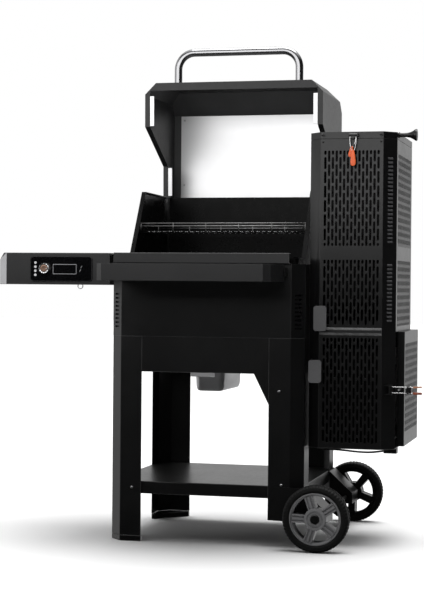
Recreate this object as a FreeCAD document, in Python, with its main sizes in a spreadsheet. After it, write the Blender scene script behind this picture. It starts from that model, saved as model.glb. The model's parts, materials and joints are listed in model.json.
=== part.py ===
"""Gravity-fed charcoal grill and smoker on a wheeled cart, with its lid open.

Units are millimetres. The frame has +Z up and -Y at the front, where the cook
stands. Its origin is on the floor, under the middle of the machine's box.
The grill cabinet stands on four legs, a control shelf is on its left and the
charcoal tower is on its right. Every piece is a named node in parts/.
"""
import FreeCAD, Part
import math
import os
import Sketcher

doc = FreeCAD.newDocument("charcoal_smoker")
sheet = doc.addObject("Spreadsheet::Sheet", "dims")
NODES = []
EIGHTH_TURN_TAN = math.tan(math.radians(22.5))
RACK_POST_EVERY = 7
FIRE_BARS = 11
TURN_TO = {
    "X": FreeCAD.Rotation(FreeCAD.Vector(0, 1, 0), 90),
    "Y": FreeCAD.Rotation(FreeCAD.Vector(1, 0, 0), -90),
    "Z": FreeCAD.Rotation(),
}


class Size:
    """A length with the spreadsheet formula that gives it."""

    def __init__(self, value, formula):
        self.value = float(value)
        self.formula = formula

    def __add__(self, other):
        other = size_of(other)
        return Size(self.value + other.value, "(%s + %s)" % (self.formula, other.formula))

    def __sub__(self, other):
        other = size_of(other)
        return Size(self.value - other.value, "(%s - %s)" % (self.formula, other.formula))

    def __radd__(self, other):
        return size_of(other) + self

    def __rsub__(self, other):
        return size_of(other) - self

    def __mul__(self, factor):
        return Size(self.value * factor, "(%s * %.6f)" % (self.formula, factor))

    __rmul__ = __mul__


def size_of(number):
    if isinstance(number, Size):
        return number
    return Size(number, "(%.6f)" % number)


def dim(alias, value, note):
    """Put one driving dimension in the spreadsheet and return it."""
    dim.row += 1
    sheet.set("A%d" % dim.row, note)
    sheet.set("B%d" % dim.row, str(value))
    sheet.setAlias("B%d" % dim.row, alias)
    return Size(value, "dims." + alias)


dim.row = 0


# ---------------------------------------------------------------- dimensions
gauge = dim("gauge", 2, "sheet metal thickness")
wall = dim("wall", 3, "firebox wall thickness")
body_left = dim("body_left", -293, "cabinet left face")
body_right = dim("body_right", 314, "cabinet right face")
body_front = dim("body_front", -233, "cabinet front face")
body_back = dim("body_back", 357, "cabinet back face")
corner_cut = dim("corner_cut", 37, "bevel on the vertical corners")
body_bottom = dim("body_bottom", 632, "cabinet bottom and leg top")
body_top = dim("body_top", 856, "cabinet top")
leg_face = dim("leg_face", 104, "leg width seen from the front")
leg_side = dim("leg_side", 110, "leg width seen from the side")
leg_lift = dim("leg_lift", 82, "bottom of the two legs that stand on the wheels")
foot_height = dim("foot_height", 18, "plastic foot cap height")
foot_rib = dim("foot_rib", 14, "width of the foot cap at its ends")
apron_bottom = dim("apron_bottom", 523, "bottom edge of the apron rails")
apron_lip = dim("apron_lip", 20, "folded lip under the apron")
gusset_width = dim("gusset_width", 46, "gusset at the front right leg, across")
gusset_drop = dim("gusset_drop", 92, "gusset at the front right leg, down")
shelf_top = dim("shelf_top", 185, "bottom shelf top")
shelf_skirt = dim("shelf_skirt", 38, "bottom shelf skirt")
shelf_in_front = dim("shelf_in_front", 8, "bottom shelf set back from the front")
shelf_in_back = dim("shelf_in_back", 25, "bottom shelf set in from the back")
shelf_bevel = dim("shelf_bevel", 41, "bottom shelf corner bevel, plus its set-in")

wheel_radius = dim("wheel_radius", 100, "wheel radius with its tyre")
wheel_width = dim("wheel_width", 44, "wheel width")
rim_radius = dim("rim_radius", 78, "wheel rim outer radius")
rim_depth = dim("rim_depth", 10, "wheel rim thickness")
hub_radius = dim("hub_radius", 33, "wheel hub radius")
spoke_width = dim("spoke_width", 24, "spoke width")
spoke_depth = dim("spoke_depth", 26, "spoke depth along the axle")
axle_x = dim("axle_x", 368, "axle position to the right")
axle_radius = dim("axle_radius", 6, "axle radius")
axle_cap = dim("axle_cap", 12, "radius of the cap nuts on the axle")
wheel_front_y = dim("wheel_front_y", -283.5, "middle of the front wheel")
wheel_back_y = dim("wheel_back_y", 406.5, "middle of the back wheel")
running_gap = dim("running_gap", 0.05, "radial clearance of a pin in its bore")
bracket_end = dim("bracket_end", 390, "far end of the wheel bracket")
bracket_top = dim("bracket_top", 183, "top of the wheel bracket")
bracket_nose = dim("bracket_nose", 113, "height of the bracket at its far end")
bracket_low = dim("bracket_low", 78, "lowest edge of the bracket's far end")
bracket_root = dim("bracket_root", 228, "where the bracket overlaps the leg")

fire_left = dim("fire_left", -274.4, "firebox outer left")
fire_right = dim("fire_right", 294.7, "firebox outer right")
fire_front = dim("fire_front", -229, "firebox front")
fire_back = dim("fire_back", 347.5, "firebox back")
fire_floor = dim("fire_floor", 637, "firebox floor underside")
fire_lip = dim("fire_lip", 876, "firebox front lip height")
fire_rim = dim("fire_rim", 1088, "firebox rim height at the back")
slant_low_y = dim("slant_low_y", -95.5, "bottom of the slanted side edge")
slant_high_y = dim("slant_high_y", 41.5, "top of the slanted side edge")
flange_width = dim("flange_width", 14, "flange on the side walls' edges")
ledge_height = dim("ledge_height", 857, "height of the strips that carry the grates")
ledge_depth = dim("ledge_depth", 14, "depth of the strips that carry the grates")
drain_radius = dim("drain_radius", 20, "grease drain radius")
drain_x = dim("drain_x", -34, "grease drain, to the left")
drain_y = dim("drain_y", 102, "grease drain, to the back")
drain_end = dim("drain_end", 535, "lower end of the drain")

manifold_left = dim("manifold_left", -212, "heat manifold left end")
manifold_right = dim("manifold_right", 228, "heat manifold right end")
manifold_front = dim("manifold_front", -150, "heat manifold front")
manifold_back = dim("manifold_back", 270, "heat manifold back")
manifold_eave = dim("manifold_eave", 715, "heat manifold eaves")
manifold_ridge = dim("manifold_ridge", 795, "heat manifold ridge")
grate_gap = dim("grate_gap", 4, "gap around each cooking grate")
grate_height = dim("grate_height", 12, "cooking grate thickness")
grate_bar = dim("grate_bar", 8, "cooking grate bar width")
grate_bars = 14
rack_z = dim("rack_z", 962, "warming rack wire height")
rack_front = dim("rack_front", -20, "warming rack front")
rack_back = dim("rack_back", 180, "warming rack back")
rack_left = dim("rack_left", -259, "warming rack left end")
rack_right = dim("rack_right", 279, "warming rack right end")
rail_radius = dim("rail_radius", 3, "warming rack rail radius")
wire_radius = dim("wire_radius", 1.6, "warming rack wire radius")
rack_step = dim("rack_step", 23.5, "height of the warming rack's upper rail over the lower one")
rack_wires = 36

tray_left = dim("tray_left", -82, "grease tray left wall")
tray_right = dim("tray_right", 14, "grease tray right wall")
tray_front = dim("tray_front", -12.5, "grease tray front")
tray_back = dim("tray_back", 267.5, "grease tray back")
tray_bottom = dim("tray_bottom", 452, "grease tray underside")
tray_top = dim("tray_top", 515, "grease tray rim top")
tray_rim = dim("tray_rim", 10, "grease tray rim width")
slide_gap = dim("slide_gap", 0.5, "clearance of a sliding piece")

side_left = dim("side_left", -666.5, "side shelf far end")
side_front = dim("side_front", -242.5, "side shelf front")
side_back = dim("side_back", 157.5, "side shelf back")
side_bottom = dim("side_bottom", 788, "side shelf underside")
side_top = dim("side_top", 887, "side shelf top")
side_bevel = dim("side_bevel", 20, "bevel on the side shelf's top edge")
panel_left = dim("panel_left", -550.5, "control panel left")
panel_right = dim("panel_right", -347.5, "control panel right")
panel_bottom = dim("panel_bottom", 797, "control panel bottom")
panel_top = dim("panel_top", 876, "control panel top")
panel_depth = dim("panel_depth", 3, "control panel thickness")
display_left = dim("display_left", -475.5, "display left")
display_width = dim("display_width", 77, "display width")
display_height = dim("display_height", 31, "display height")
display_z = dim("display_z", 836, "display centre height")
dial_x = dim("dial_x", -501.5, "control dial centre")
dial_z = dim("dial_z", 837.5, "control dial centre height")
dial_radius = dim("dial_radius", 18, "control dial radius")
dial_proud = dim("dial_proud", 12, "control dial depth")
button_x = dim("button_x", -533, "push buttons' centre")
button_low = dim("button_low", 818, "lowest push button's centre")
button_pitch = dim("button_pitch", 12.6, "push button pitch")
button_radius = dim("button_radius", 4, "push button radius")
button_proud = dim("button_proud", 2, "push button height above the panel")
hook_x = dim("hook_x", -387.5, "tool hook position")
inlet_width = dim("inlet_width", 28, "power inlet width")
inlet_height = dim("inlet_height", 20, "power inlet height")
inlet_depth = dim("inlet_depth", 16, "power inlet stand-off")
inlet_low = dim("inlet_low", 818, "lower edge of the power inlet")

ledge_left = dim("ledge_left", -274.5, "front ledge left")
ledge_right = dim("ledge_right", 274.5, "front ledge right")
ledge_front = dim("ledge_front", -259, "front ledge front face")
ledge_top = dim("ledge_top", 888, "front ledge top")
front_left = dim("front_left", -263.5, "folding shelf left")
front_right = dim("front_right", 260.5, "folding shelf right")
front_edge = dim("front_edge", -477.5, "folding shelf front edge")
front_root = dim("front_root", -259.8, "folding shelf back edge")
front_top = dim("front_top", 852, "folding shelf top")
front_lip = dim("front_lip", 50, "folding shelf lip height")
front_bevel = dim("front_bevel", 19, "folding shelf corner bevel")
fold_y = dim("fold_y", -264.5, "folding shelf pivot, to the front")
fold_z = dim("fold_z", 830, "folding shelf pivot height")
fold_pin = dim("fold_pin", 3, "folding shelf pin radius")

lid_left = dim("lid_left", -287.5, "lid outer left")
lid_right = dim("lid_right", 305.5, "lid outer right")
lid_crown = dim("lid_crown", 1452, "top of the open lid")
lid_pivot_y = dim("lid_pivot_y", 241.5, "lid pivot, to the back")
lid_pivot_z = dim("lid_pivot_z", 979, "lid pivot height")
lid_pin = dim("lid_pin", 6, "lid pivot bolt radius")
rim_painted = dim("rim_painted", 17, "painted part of the lid's rim")
rim_bright = dim("rim_bright", 14, "bright strip on the lid's rim")
rim_band = dim("rim_band", 25, "band along the lid's front edge")
lid_foot = dim("lid_foot", 883, "lowest edge of the open lid")
lid_toe = dim("lid_toe", 365, "front of the lid's lowest edge")
lid_tail = dim("lid_tail", 891, "lower end of the open lid's back")
lid_front = dim("lid_front", 112.5, "front of the open lid")
lid_back = dim("lid_back", 477.5, "back of the open lid")
lid_shoulder = dim("lid_shoulder", 1380, "upper end of the open lid's back")
crown_back = dim("crown_back", 397.5, "back edge of the open lid's top")
cheek_low_y = dim("cheek_low_y", 343.5, "lower end of the rim's upright part, to the back")
cheek_low = dim("cheek_low", 1090, "lower end of the rim's upright part")
cheek_high_y = dim("cheek_high_y", 340.5, "upper end of the rim's upright part, to the back")
cheek_high = dim("cheek_high", 1194, "upper end of the rim's upright part")
brow_y = dim("brow_y", 115.5, "upper end of the rim's slant, to the back")
brow = dim("brow", 1309, "upper end of the rim's slant")
strip_end = dim("strip_end", 1409, "upper end of the upper bright strips")
liner_inset = dim("liner_inset", 28, "liner set in from the lid's sides")
liner_low = dim("liner_low", 900, "lower edge of the lid liner")
liner_high = dim("liner_high", 1378, "upper edge of the lid liner")
arm_back = dim("arm_back", 430, "back end of the lid hinge arms")
arm_low = dim("arm_low", 905, "lowest corner of the lid hinge arms")
arm_high = dim("arm_high", 1070, "upper edge of the lid hinge arms")
arm_thickness = dim("arm_thickness", 4, "lid hinge arm thickness")
handle_left = dim("handle_left", -194, "lid handle left leg")
handle_right = dim("handle_right", 214, "lid handle right leg")
handle_y = dim("handle_y", 186.5, "lid handle, to the back")
handle_rise = dim("handle_rise", 106, "lid handle stand-off")
handle_radius = dim("handle_radius", 12.7, "lid handle tube radius")
handle_bend = dim("handle_bend", 55, "lid handle bend radius")

tower_left = dim("tower_left", 319.4, "tower left face")
tower_right = dim("tower_right", 583, "tower right face")
tower_front = dim("tower_front", -194.7, "tower front face")
tower_back = dim("tower_back", 224.5, "tower back face")
tower_bottom = dim("tower_bottom", 301, "tower underside")
tower_split = dim("tower_split", 654, "joint between lower and upper panels")
tower_top = dim("tower_top", 1233, "top of the tower's panels")
cap_height = dim("cap_height", 20, "hopper lid height")
bar_height = dim("bar_height", 23, "cross bar height")
duct_front = dim("duct_front", -90, "duct front")
duct_back = dim("duct_back", 110, "duct back")
duct_low = dim("duct_low", 668, "duct bottom")
duct_high = dim("duct_high", 720, "duct top")
hopper_in = dim("hopper_in", 32, "hopper liner set in from the tower's sides")
hopper_low = dim("hopper_low", 735, "hopper liner bottom")
hopper_high = dim("hopper_high", 1226, "hopper liner top")
ash_low = dim("ash_low", 315, "ash bin underside")
ash_high = dim("ash_high", 600, "ash bin top")
ash_in = dim("ash_in", 26, "ash bin set in from the tower's sides")
door_proud = dim("door_proud", 21.9, "ash door depth")
door_front = dim("door_front", -115.5, "ash door front edge")
door_back = dim("door_back", 209.5, "ash door back edge")
door_low = dim("door_low", 306.6, "ash door bottom")
door_high = dim("door_high", 653.8, "ash door top")
door_pin_y = dim("door_pin_y", 216.5, "ash door hinge, to the back")
door_pin = dim("door_pin", 3, "hinge pin radius")
knob_y = dim("knob_y", -125, "hopper lid knob, to the front")
knob_z = dim("knob_z", 1248, "hopper lid knob height")
knob_stem = dim("knob_stem", 6.75, "hopper lid knob stem radius")
knob_flare = dim("knob_flare", 18, "hopper lid knob flare radius")
knob_reach = dim("knob_reach", 55.5, "hopper lid knob length")
latch_wire = dim("latch_wire", 1.5, "latch wire radius")
latch_spread = dim("latch_spread", 9.5, "latch wire distance from its middle")
latch_hub = dim("latch_hub", 6, "latch hub radius")
latch_pin = dim("latch_pin", 3, "latch pin radius")
sleeve_radius = dim("sleeve_radius", 5, "latch sleeve radius")
hopper_latch_x = dim("hopper_latch_x", 456, "hopper latch centre")
hopper_latch_y = dim("hopper_latch_y", -205, "hopper latch pivot, to the front")
hopper_latch_z = dim("hopper_latch_z", 1243, "hopper latch pivot height")
hopper_latch_reach = dim("hopper_latch_reach", 93, "hopper latch length")
door_latch_x = dim("door_latch_x", 572, "door latch pivot")
door_latch_y = dim("door_latch_y", -184, "door latch pivot, to the front")
door_latch_z = dim("door_latch_z", 481, "door latch pivot height")
door_latch_end = dim("door_latch_end", 666.5, "door latch tip")
upper_tab_left = dim("upper_tab_left", 342.5, "upper shutter tab left")
upper_tab_low = dim("upper_tab_low", 655, "upper shutter tab bottom")
upper_tab_high = dim("upper_tab_high", 731, "upper shutter tab top")
lower_tab_left = dim("lower_tab_left", 328.5, "lower shutter tab left")
lower_tab_low = dim("lower_tab_low", 499, "lower shutter tab bottom")
lower_tab_high = dim("lower_tab_high", 568, "lower shutter tab top")
tab_width = dim("tab_width", 39, "shutter tab width")
tab_front = dim("tab_front", -218, "shutter tab front face")
tab_thickness = dim("tab_thickness", 4, "shutter tab thickness")
tab_corner = dim("tab_corner", 9, "shutter tab corner radius")
shutter_back = dim("shutter_back", 120, "back end of the shutter plates")

fan_left = dim("fan_left", 533.5, "blower left")
fan_width = dim("fan_width", 40, "blower width")
fan_front = dim("fan_front", -50, "blower front")
fan_bottom = dim("fan_bottom", 277, "blower underside")
fan_bore = dim("fan_bore", 16.5, "blower opening radius")
fan_hub = dim("fan_hub", 7, "blower rotor hub radius")
fan_blades = 7
cable_radius = dim("cable_radius", 3, "blower cable radius")
screw_radius = dim("screw_radius", 4, "screw head radius")
screw_height = dim("screw_height", 2, "screw head height")


# ------------------------------------------------------------------- helpers
def bind(thing, **sizes):
    """Bind the object's own sizes to spreadsheet formulas."""
    for name, size in sizes.items():
        thing.setExpression(name, size_of(size).formula)
    return thing


def place(thing, x=0, y=0, z=0, turn=None):
    """Place a primitive at a bound point, turned by a fixed rotation."""
    thing.Placement = FreeCAD.Placement(FreeCAD.Vector(), turn or FreeCAD.Rotation())
    for axis, size in (("x", x), ("y", y), ("z", z)):
        thing.setExpression("Placement.Base." + axis, size_of(size).formula)
    return thing


def node(thing, label):
    """Keep this object as a finished sub-part with its own name."""
    thing.Label = label
    NODES.append(thing)
    return thing


def block(x, y, z):
    """Box between two bounds on each axis."""
    box = doc.addObject("Part::Box", "block")
    bind(box, Length=size_of(x[1]) - x[0], Width=size_of(y[1]) - y[0], Height=size_of(z[1]) - z[0])
    return place(box, x[0], y[0], z[0])


def rod(axis, start, length, radius):
    """Cylinder that runs from a point along +X, +Y or +Z."""
    cylinder = doc.addObject("Part::Cylinder", "rod")
    bind(cylinder, Radius=radius, Height=length)
    return place(cylinder, *start, turn=TURN_TO[axis])


def cone(axis, start, length, radius, end_radius):
    """Tapered round that runs from a point along +X, +Y or +Z."""
    taper = doc.addObject("Part::Cone", "taper")
    bind(taper, Radius1=radius, Radius2=end_radius, Height=length)
    return place(taper, *start, turn=TURN_TO[axis])


def cut(base, *tools):
    """Take the tools away from the base."""
    for tool in tools:
        taken = doc.addObject("Part::Cut", "cut")
        taken.Base = base
        taken.Tool = tool
        base = taken
    return base


def fuse(*shapes):
    joined = doc.addObject("Part::MultiFuse", "fuse")
    joined.Shapes = list(shapes)
    return joined


def common(*shapes):
    shared = doc.addObject("Part::MultiCommon", "common")
    shared.Shapes = list(shapes)
    return shared


def group(*shapes):
    """Separate solids of the same kind, kept as one node."""
    several = doc.addObject("Part::Compound", "group")
    several.Links = list(shapes)
    return several


def draw_outline(sketch, points):
    """Closed polygon whose corners are bound to formulas."""
    corners = [(size_of(u), size_of(v)) for u, v in points]
    count = len(corners)
    for k in range(count):
        here = FreeCAD.Vector(corners[k][0].value, corners[k][1].value, 0)
        far = corners[(k + 1) % count]
        there = FreeCAD.Vector(far[0].value, far[1].value, 0)
        sketch.addGeometry(Part.LineSegment(here, there), False)
    for k in range(count):
        sketch.addConstraint(Sketcher.Constraint("Coincident", k, 2, (k + 1) % count, 1))
    for k in range(count):
        for kind, size in zip(("DistanceX", "DistanceY"), corners[k]):
            place_number = sketch.addConstraint(Sketcher.Constraint(kind, -1, 1, k, 1, size.value))
            sketch.setExpression("Constraints[%d]" % place_number, size.formula)


def prism(plane, points, low, high):
    """Body that pads a polygon from low to high along the plane's axis.

    plane is XY, XZ or YZ, and the points are given along its two letters.
    """
    body = doc.addObject("PartDesign::Body", "body")
    sketch = body.newObject("Sketcher::SketchObject", "outline")
    role = plane + "_Plane"
    planes = [feature for feature in body.Origin.OriginFeatures if feature.Role == role]
    sketch.AttachmentSupport = [(planes[0], "")]
    sketch.MapMode = "FlatFace"
    faces_minus_y = plane == "XZ"
    offset = size_of(0) - low if faces_minus_y else size_of(low)
    sketch.setExpression("AttachmentOffset.Base.z", offset.formula)
    draw_outline(sketch, points)
    pad = body.newObject("PartDesign::Pad", "pad")
    pad.Profile = sketch
    pad.Reversed = faces_minus_y
    bind(pad, Length=size_of(high) - low)
    return body


def turned(points, x, y, z):
    """Body of revolution about a line along Y; points are (along, radius)."""
    body = doc.addObject("PartDesign::Body", "turned")
    sketch = body.newObject("Sketcher::SketchObject", "section")
    planes = [feature for feature in body.Origin.OriginFeatures if feature.Role == "YZ_Plane"]
    sketch.AttachmentSupport = [(planes[0], "")]
    sketch.MapMode = "FlatFace"
    draw_outline(sketch, points)
    spin = body.newObject("PartDesign::Revolution", "revolution")
    spin.Profile = sketch
    spin.ReferenceAxis = (sketch, ["H_Axis"])
    spin.Angle = 360
    return place(body, x, y, z)


def rounded(thing, axis, radius):
    """Round the edges that run along one axis."""
    doc.recompute()
    index = "XYZ".index(axis)
    edges = []
    for number, edge in enumerate(thing.Shape.Edges, start=1):
        run = edge.lastVertex().Point.sub(edge.firstVertex().Point)
        if abs(abs(run[index]) - run.Length) < 1e-6:
            edges.append((number, radius.value, radius.value))
    fillet = doc.addObject("Part::Fillet", "rounded")
    fillet.Base = thing
    fillet.Edges = edges
    return fillet


def octagon(left, right, front, back, bevel, inset=0):
    """Rectangle in plan with its four corners bevelled, set in all round."""
    shift = size_of(inset)
    trim = size_of(bevel) + shift * EIGHTH_TURN_TAN - shift
    west = size_of(left) + shift
    east = size_of(right) - shift
    south = size_of(front) + shift
    north = size_of(back) - shift
    return [
        (west, south + trim), (west + trim, south), (east - trim, south), (east, south + trim),
        (east, north - trim), (east - trim, north), (west + trim, north), (west, north - trim),
    ]


def tube_along(corners, bends, radius):
    """Round bar through corner points, with an arc of its own at each inner corner."""
    edges = []
    start = corners[0]
    for k in range(1, len(corners) - 1):
        before = corners[k - 1].sub(corners[k]).normalize()
        after = corners[k + 1].sub(corners[k]).normalize()
        half_turn = (math.pi - before.getAngle(after)) / 2
        reach = bends[k - 1] * math.tan(half_turn)
        arc_start = corners[k].add(before * reach)
        arc_end = corners[k].add(after * reach)
        middle = before.add(after).normalize()
        hub = corners[k].add(middle * (bends[k - 1] / math.cos(half_turn)))
        arc_middle = hub.sub(middle * bends[k - 1])
        edges.append(Part.LineSegment(start, arc_start).toShape())
        edges.append(Part.Arc(arc_start, arc_middle, arc_end).toShape())
        start = arc_end
    edges.append(Part.LineSegment(start, corners[-1]).toShape())
    path = Part.Wire(edges)
    direction = corners[1].sub(corners[0])
    circle = Part.Wire([Part.makeCircle(radius, corners[0], direction)])
    solid = path.makePipeShell([circle], True, False)
    print("tube: volume / (section x length) = %.4f" % (solid.Volume / (math.pi * radius ** 2 * path.Length)))
    return solid, path.Length


# --------------------------------------------------------------------- stand
def leg(corner_x, corner_y, toward_x, toward_y, bottom):
    """Angle-section leg with a bevelled corner."""
    def at(across, along):
        return (corner_x + across * toward_x, corner_y + along * toward_y)
    inner_bend = corner_cut + gauge * EIGHTH_TURN_TAN
    section = [
        at(size_of(0), leg_side), at(size_of(0), corner_cut), at(corner_cut, size_of(0)),
        at(leg_face, size_of(0)), at(leg_face, gauge), at(inner_bend, gauge),
        at(gauge, inner_bend), at(gauge, leg_side),
    ]
    return prism("XY", section, bottom, body_bottom)


def foot_cap(corner_x, corner_y, toward_y):
    """Plastic cap that a left leg stands on."""
    section = [
        (corner_x, corner_y + leg_side * toward_y), (corner_x, corner_y + corner_cut * toward_y),
        (corner_x + corner_cut, corner_y), (corner_x + leg_face, corner_y),
        (corner_x + leg_face, corner_y + foot_rib * toward_y),
        (corner_x + foot_rib, corner_y + leg_side * toward_y),
    ]
    return prism("XY", section, 0, foot_height)


def make_stand():
    left = group(leg(body_left, body_front, 1, 1, foot_height), leg(body_left, body_back, 1, -1, foot_height))
    node(left, "left_legs")
    right = group(leg(body_right, body_front, -1, 1, leg_lift), leg(body_right, body_back, -1, -1, leg_lift))
    node(right, "right_legs")
    node(group(foot_cap(body_left, body_front, 1), foot_cap(body_left, body_back, -1)), "foot_caps")

    def long_rail(face, inward):
        section = [
            (face, apron_bottom), (face, body_bottom), (face + gauge * inward, body_bottom),
            (face + gauge * inward, apron_bottom + gauge), (face + apron_lip * inward, apron_bottom + gauge),
            (face + apron_lip * inward, apron_bottom),
        ]
        return prism("YZ", section, body_left + leg_face, body_right - leg_face)
    gusset_edge = body_right - leg_face
    gusset_points = [
        (gusset_edge - gusset_width, apron_bottom), (gusset_edge, apron_bottom),
        (gusset_edge, apron_bottom - gusset_drop),
    ]
    gusset = prism("XZ", gusset_points, body_front, body_front + gauge)
    side_span = (body_front + leg_side, body_back - leg_side)
    side_rise = (apron_bottom, body_bottom)
    left_rail = block((body_left, body_left + gauge), side_span, side_rise)
    right_rail = block((body_right - gauge, body_right), side_span, side_rise)
    front_rail = fuse(long_rail(body_front, 1), gusset)
    node(group(front_rail, long_rail(body_back, -1), left_rail, right_rail), "apron_rails")


def make_bottom_shelf():
    left = body_left + gauge
    right = body_right - gauge
    front = body_front + shelf_in_front
    back = body_back - shelf_in_back
    bevel = shelf_bevel - gauge
    outer = prism("XY", octagon(left, right, front, back, bevel), shelf_top - shelf_skirt, shelf_top)
    inner_plan = octagon(left, right, front, back, bevel, gauge)
    inner = prism("XY", inner_plan, shelf_top - shelf_skirt, shelf_top - gauge)
    node(cut(outer, inner), "bottom_shelf")


# -------------------------------------------------------------------- wheels
def make_wheel_bracket():
    """Folded box at the foot of each right leg; the two carry the axle."""
    plate_points = [
        (bracket_root, leg_lift), (bracket_end, bracket_low), (bracket_end, bracket_nose),
        (body_right, bracket_top), (bracket_root, bracket_top),
    ]
    cover_root = body_right + slide_gap
    inner_points = [
        (cover_root, leg_lift), (bracket_end, bracket_low), (bracket_end, bracket_nose),
        (cover_root, bracket_top),
    ]
    cover_points = [
        (cover_root, bracket_top), (bracket_end, bracket_nose), (bracket_end, bracket_low),
        (bracket_end - gauge, bracket_low), (bracket_end - gauge, bracket_nose - gauge),
        (cover_root, bracket_top - gauge * 1.4),
    ]
    bore_length = body_back - body_front + gauge * 4
    bore = rod("Y", (axle_x, body_front - gauge * 2, wheel_radius), bore_length, axle_radius)
    inner_front = body_front + leg_side
    inner_back = body_back - leg_side
    front_box = fuse(prism("XZ", plate_points, body_front - gauge, body_front),
                     prism("XZ", cover_points, body_front, inner_front),
                     prism("XZ", inner_points, inner_front - gauge, inner_front))
    back_box = fuse(prism("XZ", inner_points, inner_back, inner_back + gauge),
                    prism("XZ", cover_points, inner_back, body_back),
                    prism("XZ", plate_points, body_back, body_back + gauge))
    node(group(cut(front_box, bore), cut(back_box, bore)), "wheel_bracket")


def make_axle():
    """Axle with a cap nut outside each wheel."""
    half = wheel_width * 0.5
    front_end = wheel_front_y - half - slide_gap
    back_end = wheel_back_y + half + slide_gap
    cap_length = axle_radius
    bar = rod("Y", (axle_x, front_end, wheel_radius), back_end - front_end, axle_radius)
    front_cap = rod("Y", (axle_x, front_end - cap_length, wheel_radius), cap_length, axle_cap)
    back_cap = rod("Y", (axle_x, back_end, wheel_radius), cap_length, axle_cap)
    node(fuse(bar, front_cap, back_cap), "axle")


def make_wheel(name, middle):
    """Spoked wheel rim and its tyre, turned about the axle."""
    half = wheel_width * 0.5
    rim_half = half - gauge * 2
    ring_points = [
        (size_of(0) - rim_half, rim_radius - rim_depth), (rim_half, rim_radius - rim_depth),
        (rim_half, rim_radius), (size_of(0) - rim_half, rim_radius),
    ]
    ring = turned(ring_points, axle_x, middle, wheel_radius)
    hub = rod("Y", (axle_x, middle - half, wheel_radius), wheel_width, hub_radius)
    spokes = []
    for k in range(5):
        spoke = doc.addObject("Part::Box", "spoke")
        bind(spoke, Length=rim_radius - rim_depth * 0.5, Width=spoke_depth, Height=spoke_width)
        turn = FreeCAD.Rotation(FreeCAD.Vector(0, 1, 0), -72 * k - 35)
        across = turn.multVec(FreeCAD.Vector(0, 0, -spoke_width.value / 2))
        place(spoke, axle_x + across.x, middle - spoke_depth * 0.5, wheel_radius + across.z, turn)
        spokes.append(spoke)
    bore = rod("Y", (axle_x, middle - wheel_width, wheel_radius), wheel_width * 2, axle_radius + running_gap)
    node(cut(fuse(ring, hub, *spokes), bore), name + "_rim")
    seat = rim_radius + running_gap
    crown = half - gauge
    shoulder = wheel_radius - rim_depth
    tyre_points = [
        (size_of(0) - rim_half, seat), (rim_half, seat), (half, seat + gauge * 3), (half, shoulder),
        (half - gauge * 2, wheel_radius - gauge), (crown * 0.5, wheel_radius), (crown * -0.5, wheel_radius),
        (gauge * 2 - half, wheel_radius - gauge), (size_of(0) - half, shoulder),
        (size_of(0) - half, seat + gauge * 3),
    ]
    node(turned(tyre_points, axle_x, middle, wheel_radius), name + "_tyre")


# ------------------------------------------------------------------- cabinet
def duct_opening():
    """Space that the hot gas crosses from the tower to the firebox."""
    across = (fire_right - wall * 2, tower_left + gauge * 2)
    return block(across, (duct_front, duct_back), (duct_low, duct_high))


def inside_bevels(inset, low, high):
    """Prism that stays inside the cabinet's bevelled corners."""
    plan = octagon(body_left, body_right, body_front, body_back, corner_cut, gauge + slide_gap * 0.5 + inset)
    return prism("XY", plan, low, high)


def make_cabinet():
    plan = octagon(body_left, body_right, body_front, body_back, corner_cut)
    outer = prism("XY", plan, body_bottom, body_top)
    inner_plan = octagon(body_left, body_right, body_front, body_back, corner_cut, gauge)
    inner = prism("XY", inner_plan, body_bottom - gauge, body_top - gauge)
    rise = (body_top - gauge * 2, body_top + gauge)
    mouth = block((fire_left, fire_right), (fire_front, fire_back), rise)
    mouth = common(mouth, inside_bevels(0, *rise))
    node(cut(outer, inner, mouth, duct_opening()), "cabinet_shell")


def firebox_side(outside, inward):
    """Side wall with a slanted front edge and a flange along its free edges."""
    edge = [
        (fire_front, fire_lip), (slant_low_y, fire_lip), (slant_high_y, fire_rim + wall), (fire_back, fire_rim),
    ]
    section = [(fire_front, fire_floor + wall)] + edge + [(fire_back, fire_floor + wall)]
    low, high = sorted((outside, outside + wall * inward), key=lambda size: size.value)
    plate = prism("YZ", section, low, high)
    under = [(y, z - wall) for y, z in reversed(edge)]
    under[1] = (slant_high_y + wall * 0.5, fire_rim)
    under[2] = (slant_low_y + wall * 0.7, fire_lip - wall)
    low, high = sorted((outside, outside + flange_width * inward), key=lambda size: size.value)
    return fuse(plate, prism("YZ", edge + under, low, high))


def rack_bracket(outer, inner):
    """Strip on a side wall that carries the warming rack."""
    low, high = sorted((outer, inner), key=lambda size: size.value)
    rest_z = rack_z - rail_radius
    return block((low, high), (rack_front + gauge * 4, rack_back + gauge * 2), (rest_z - gauge, rest_z))


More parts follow.
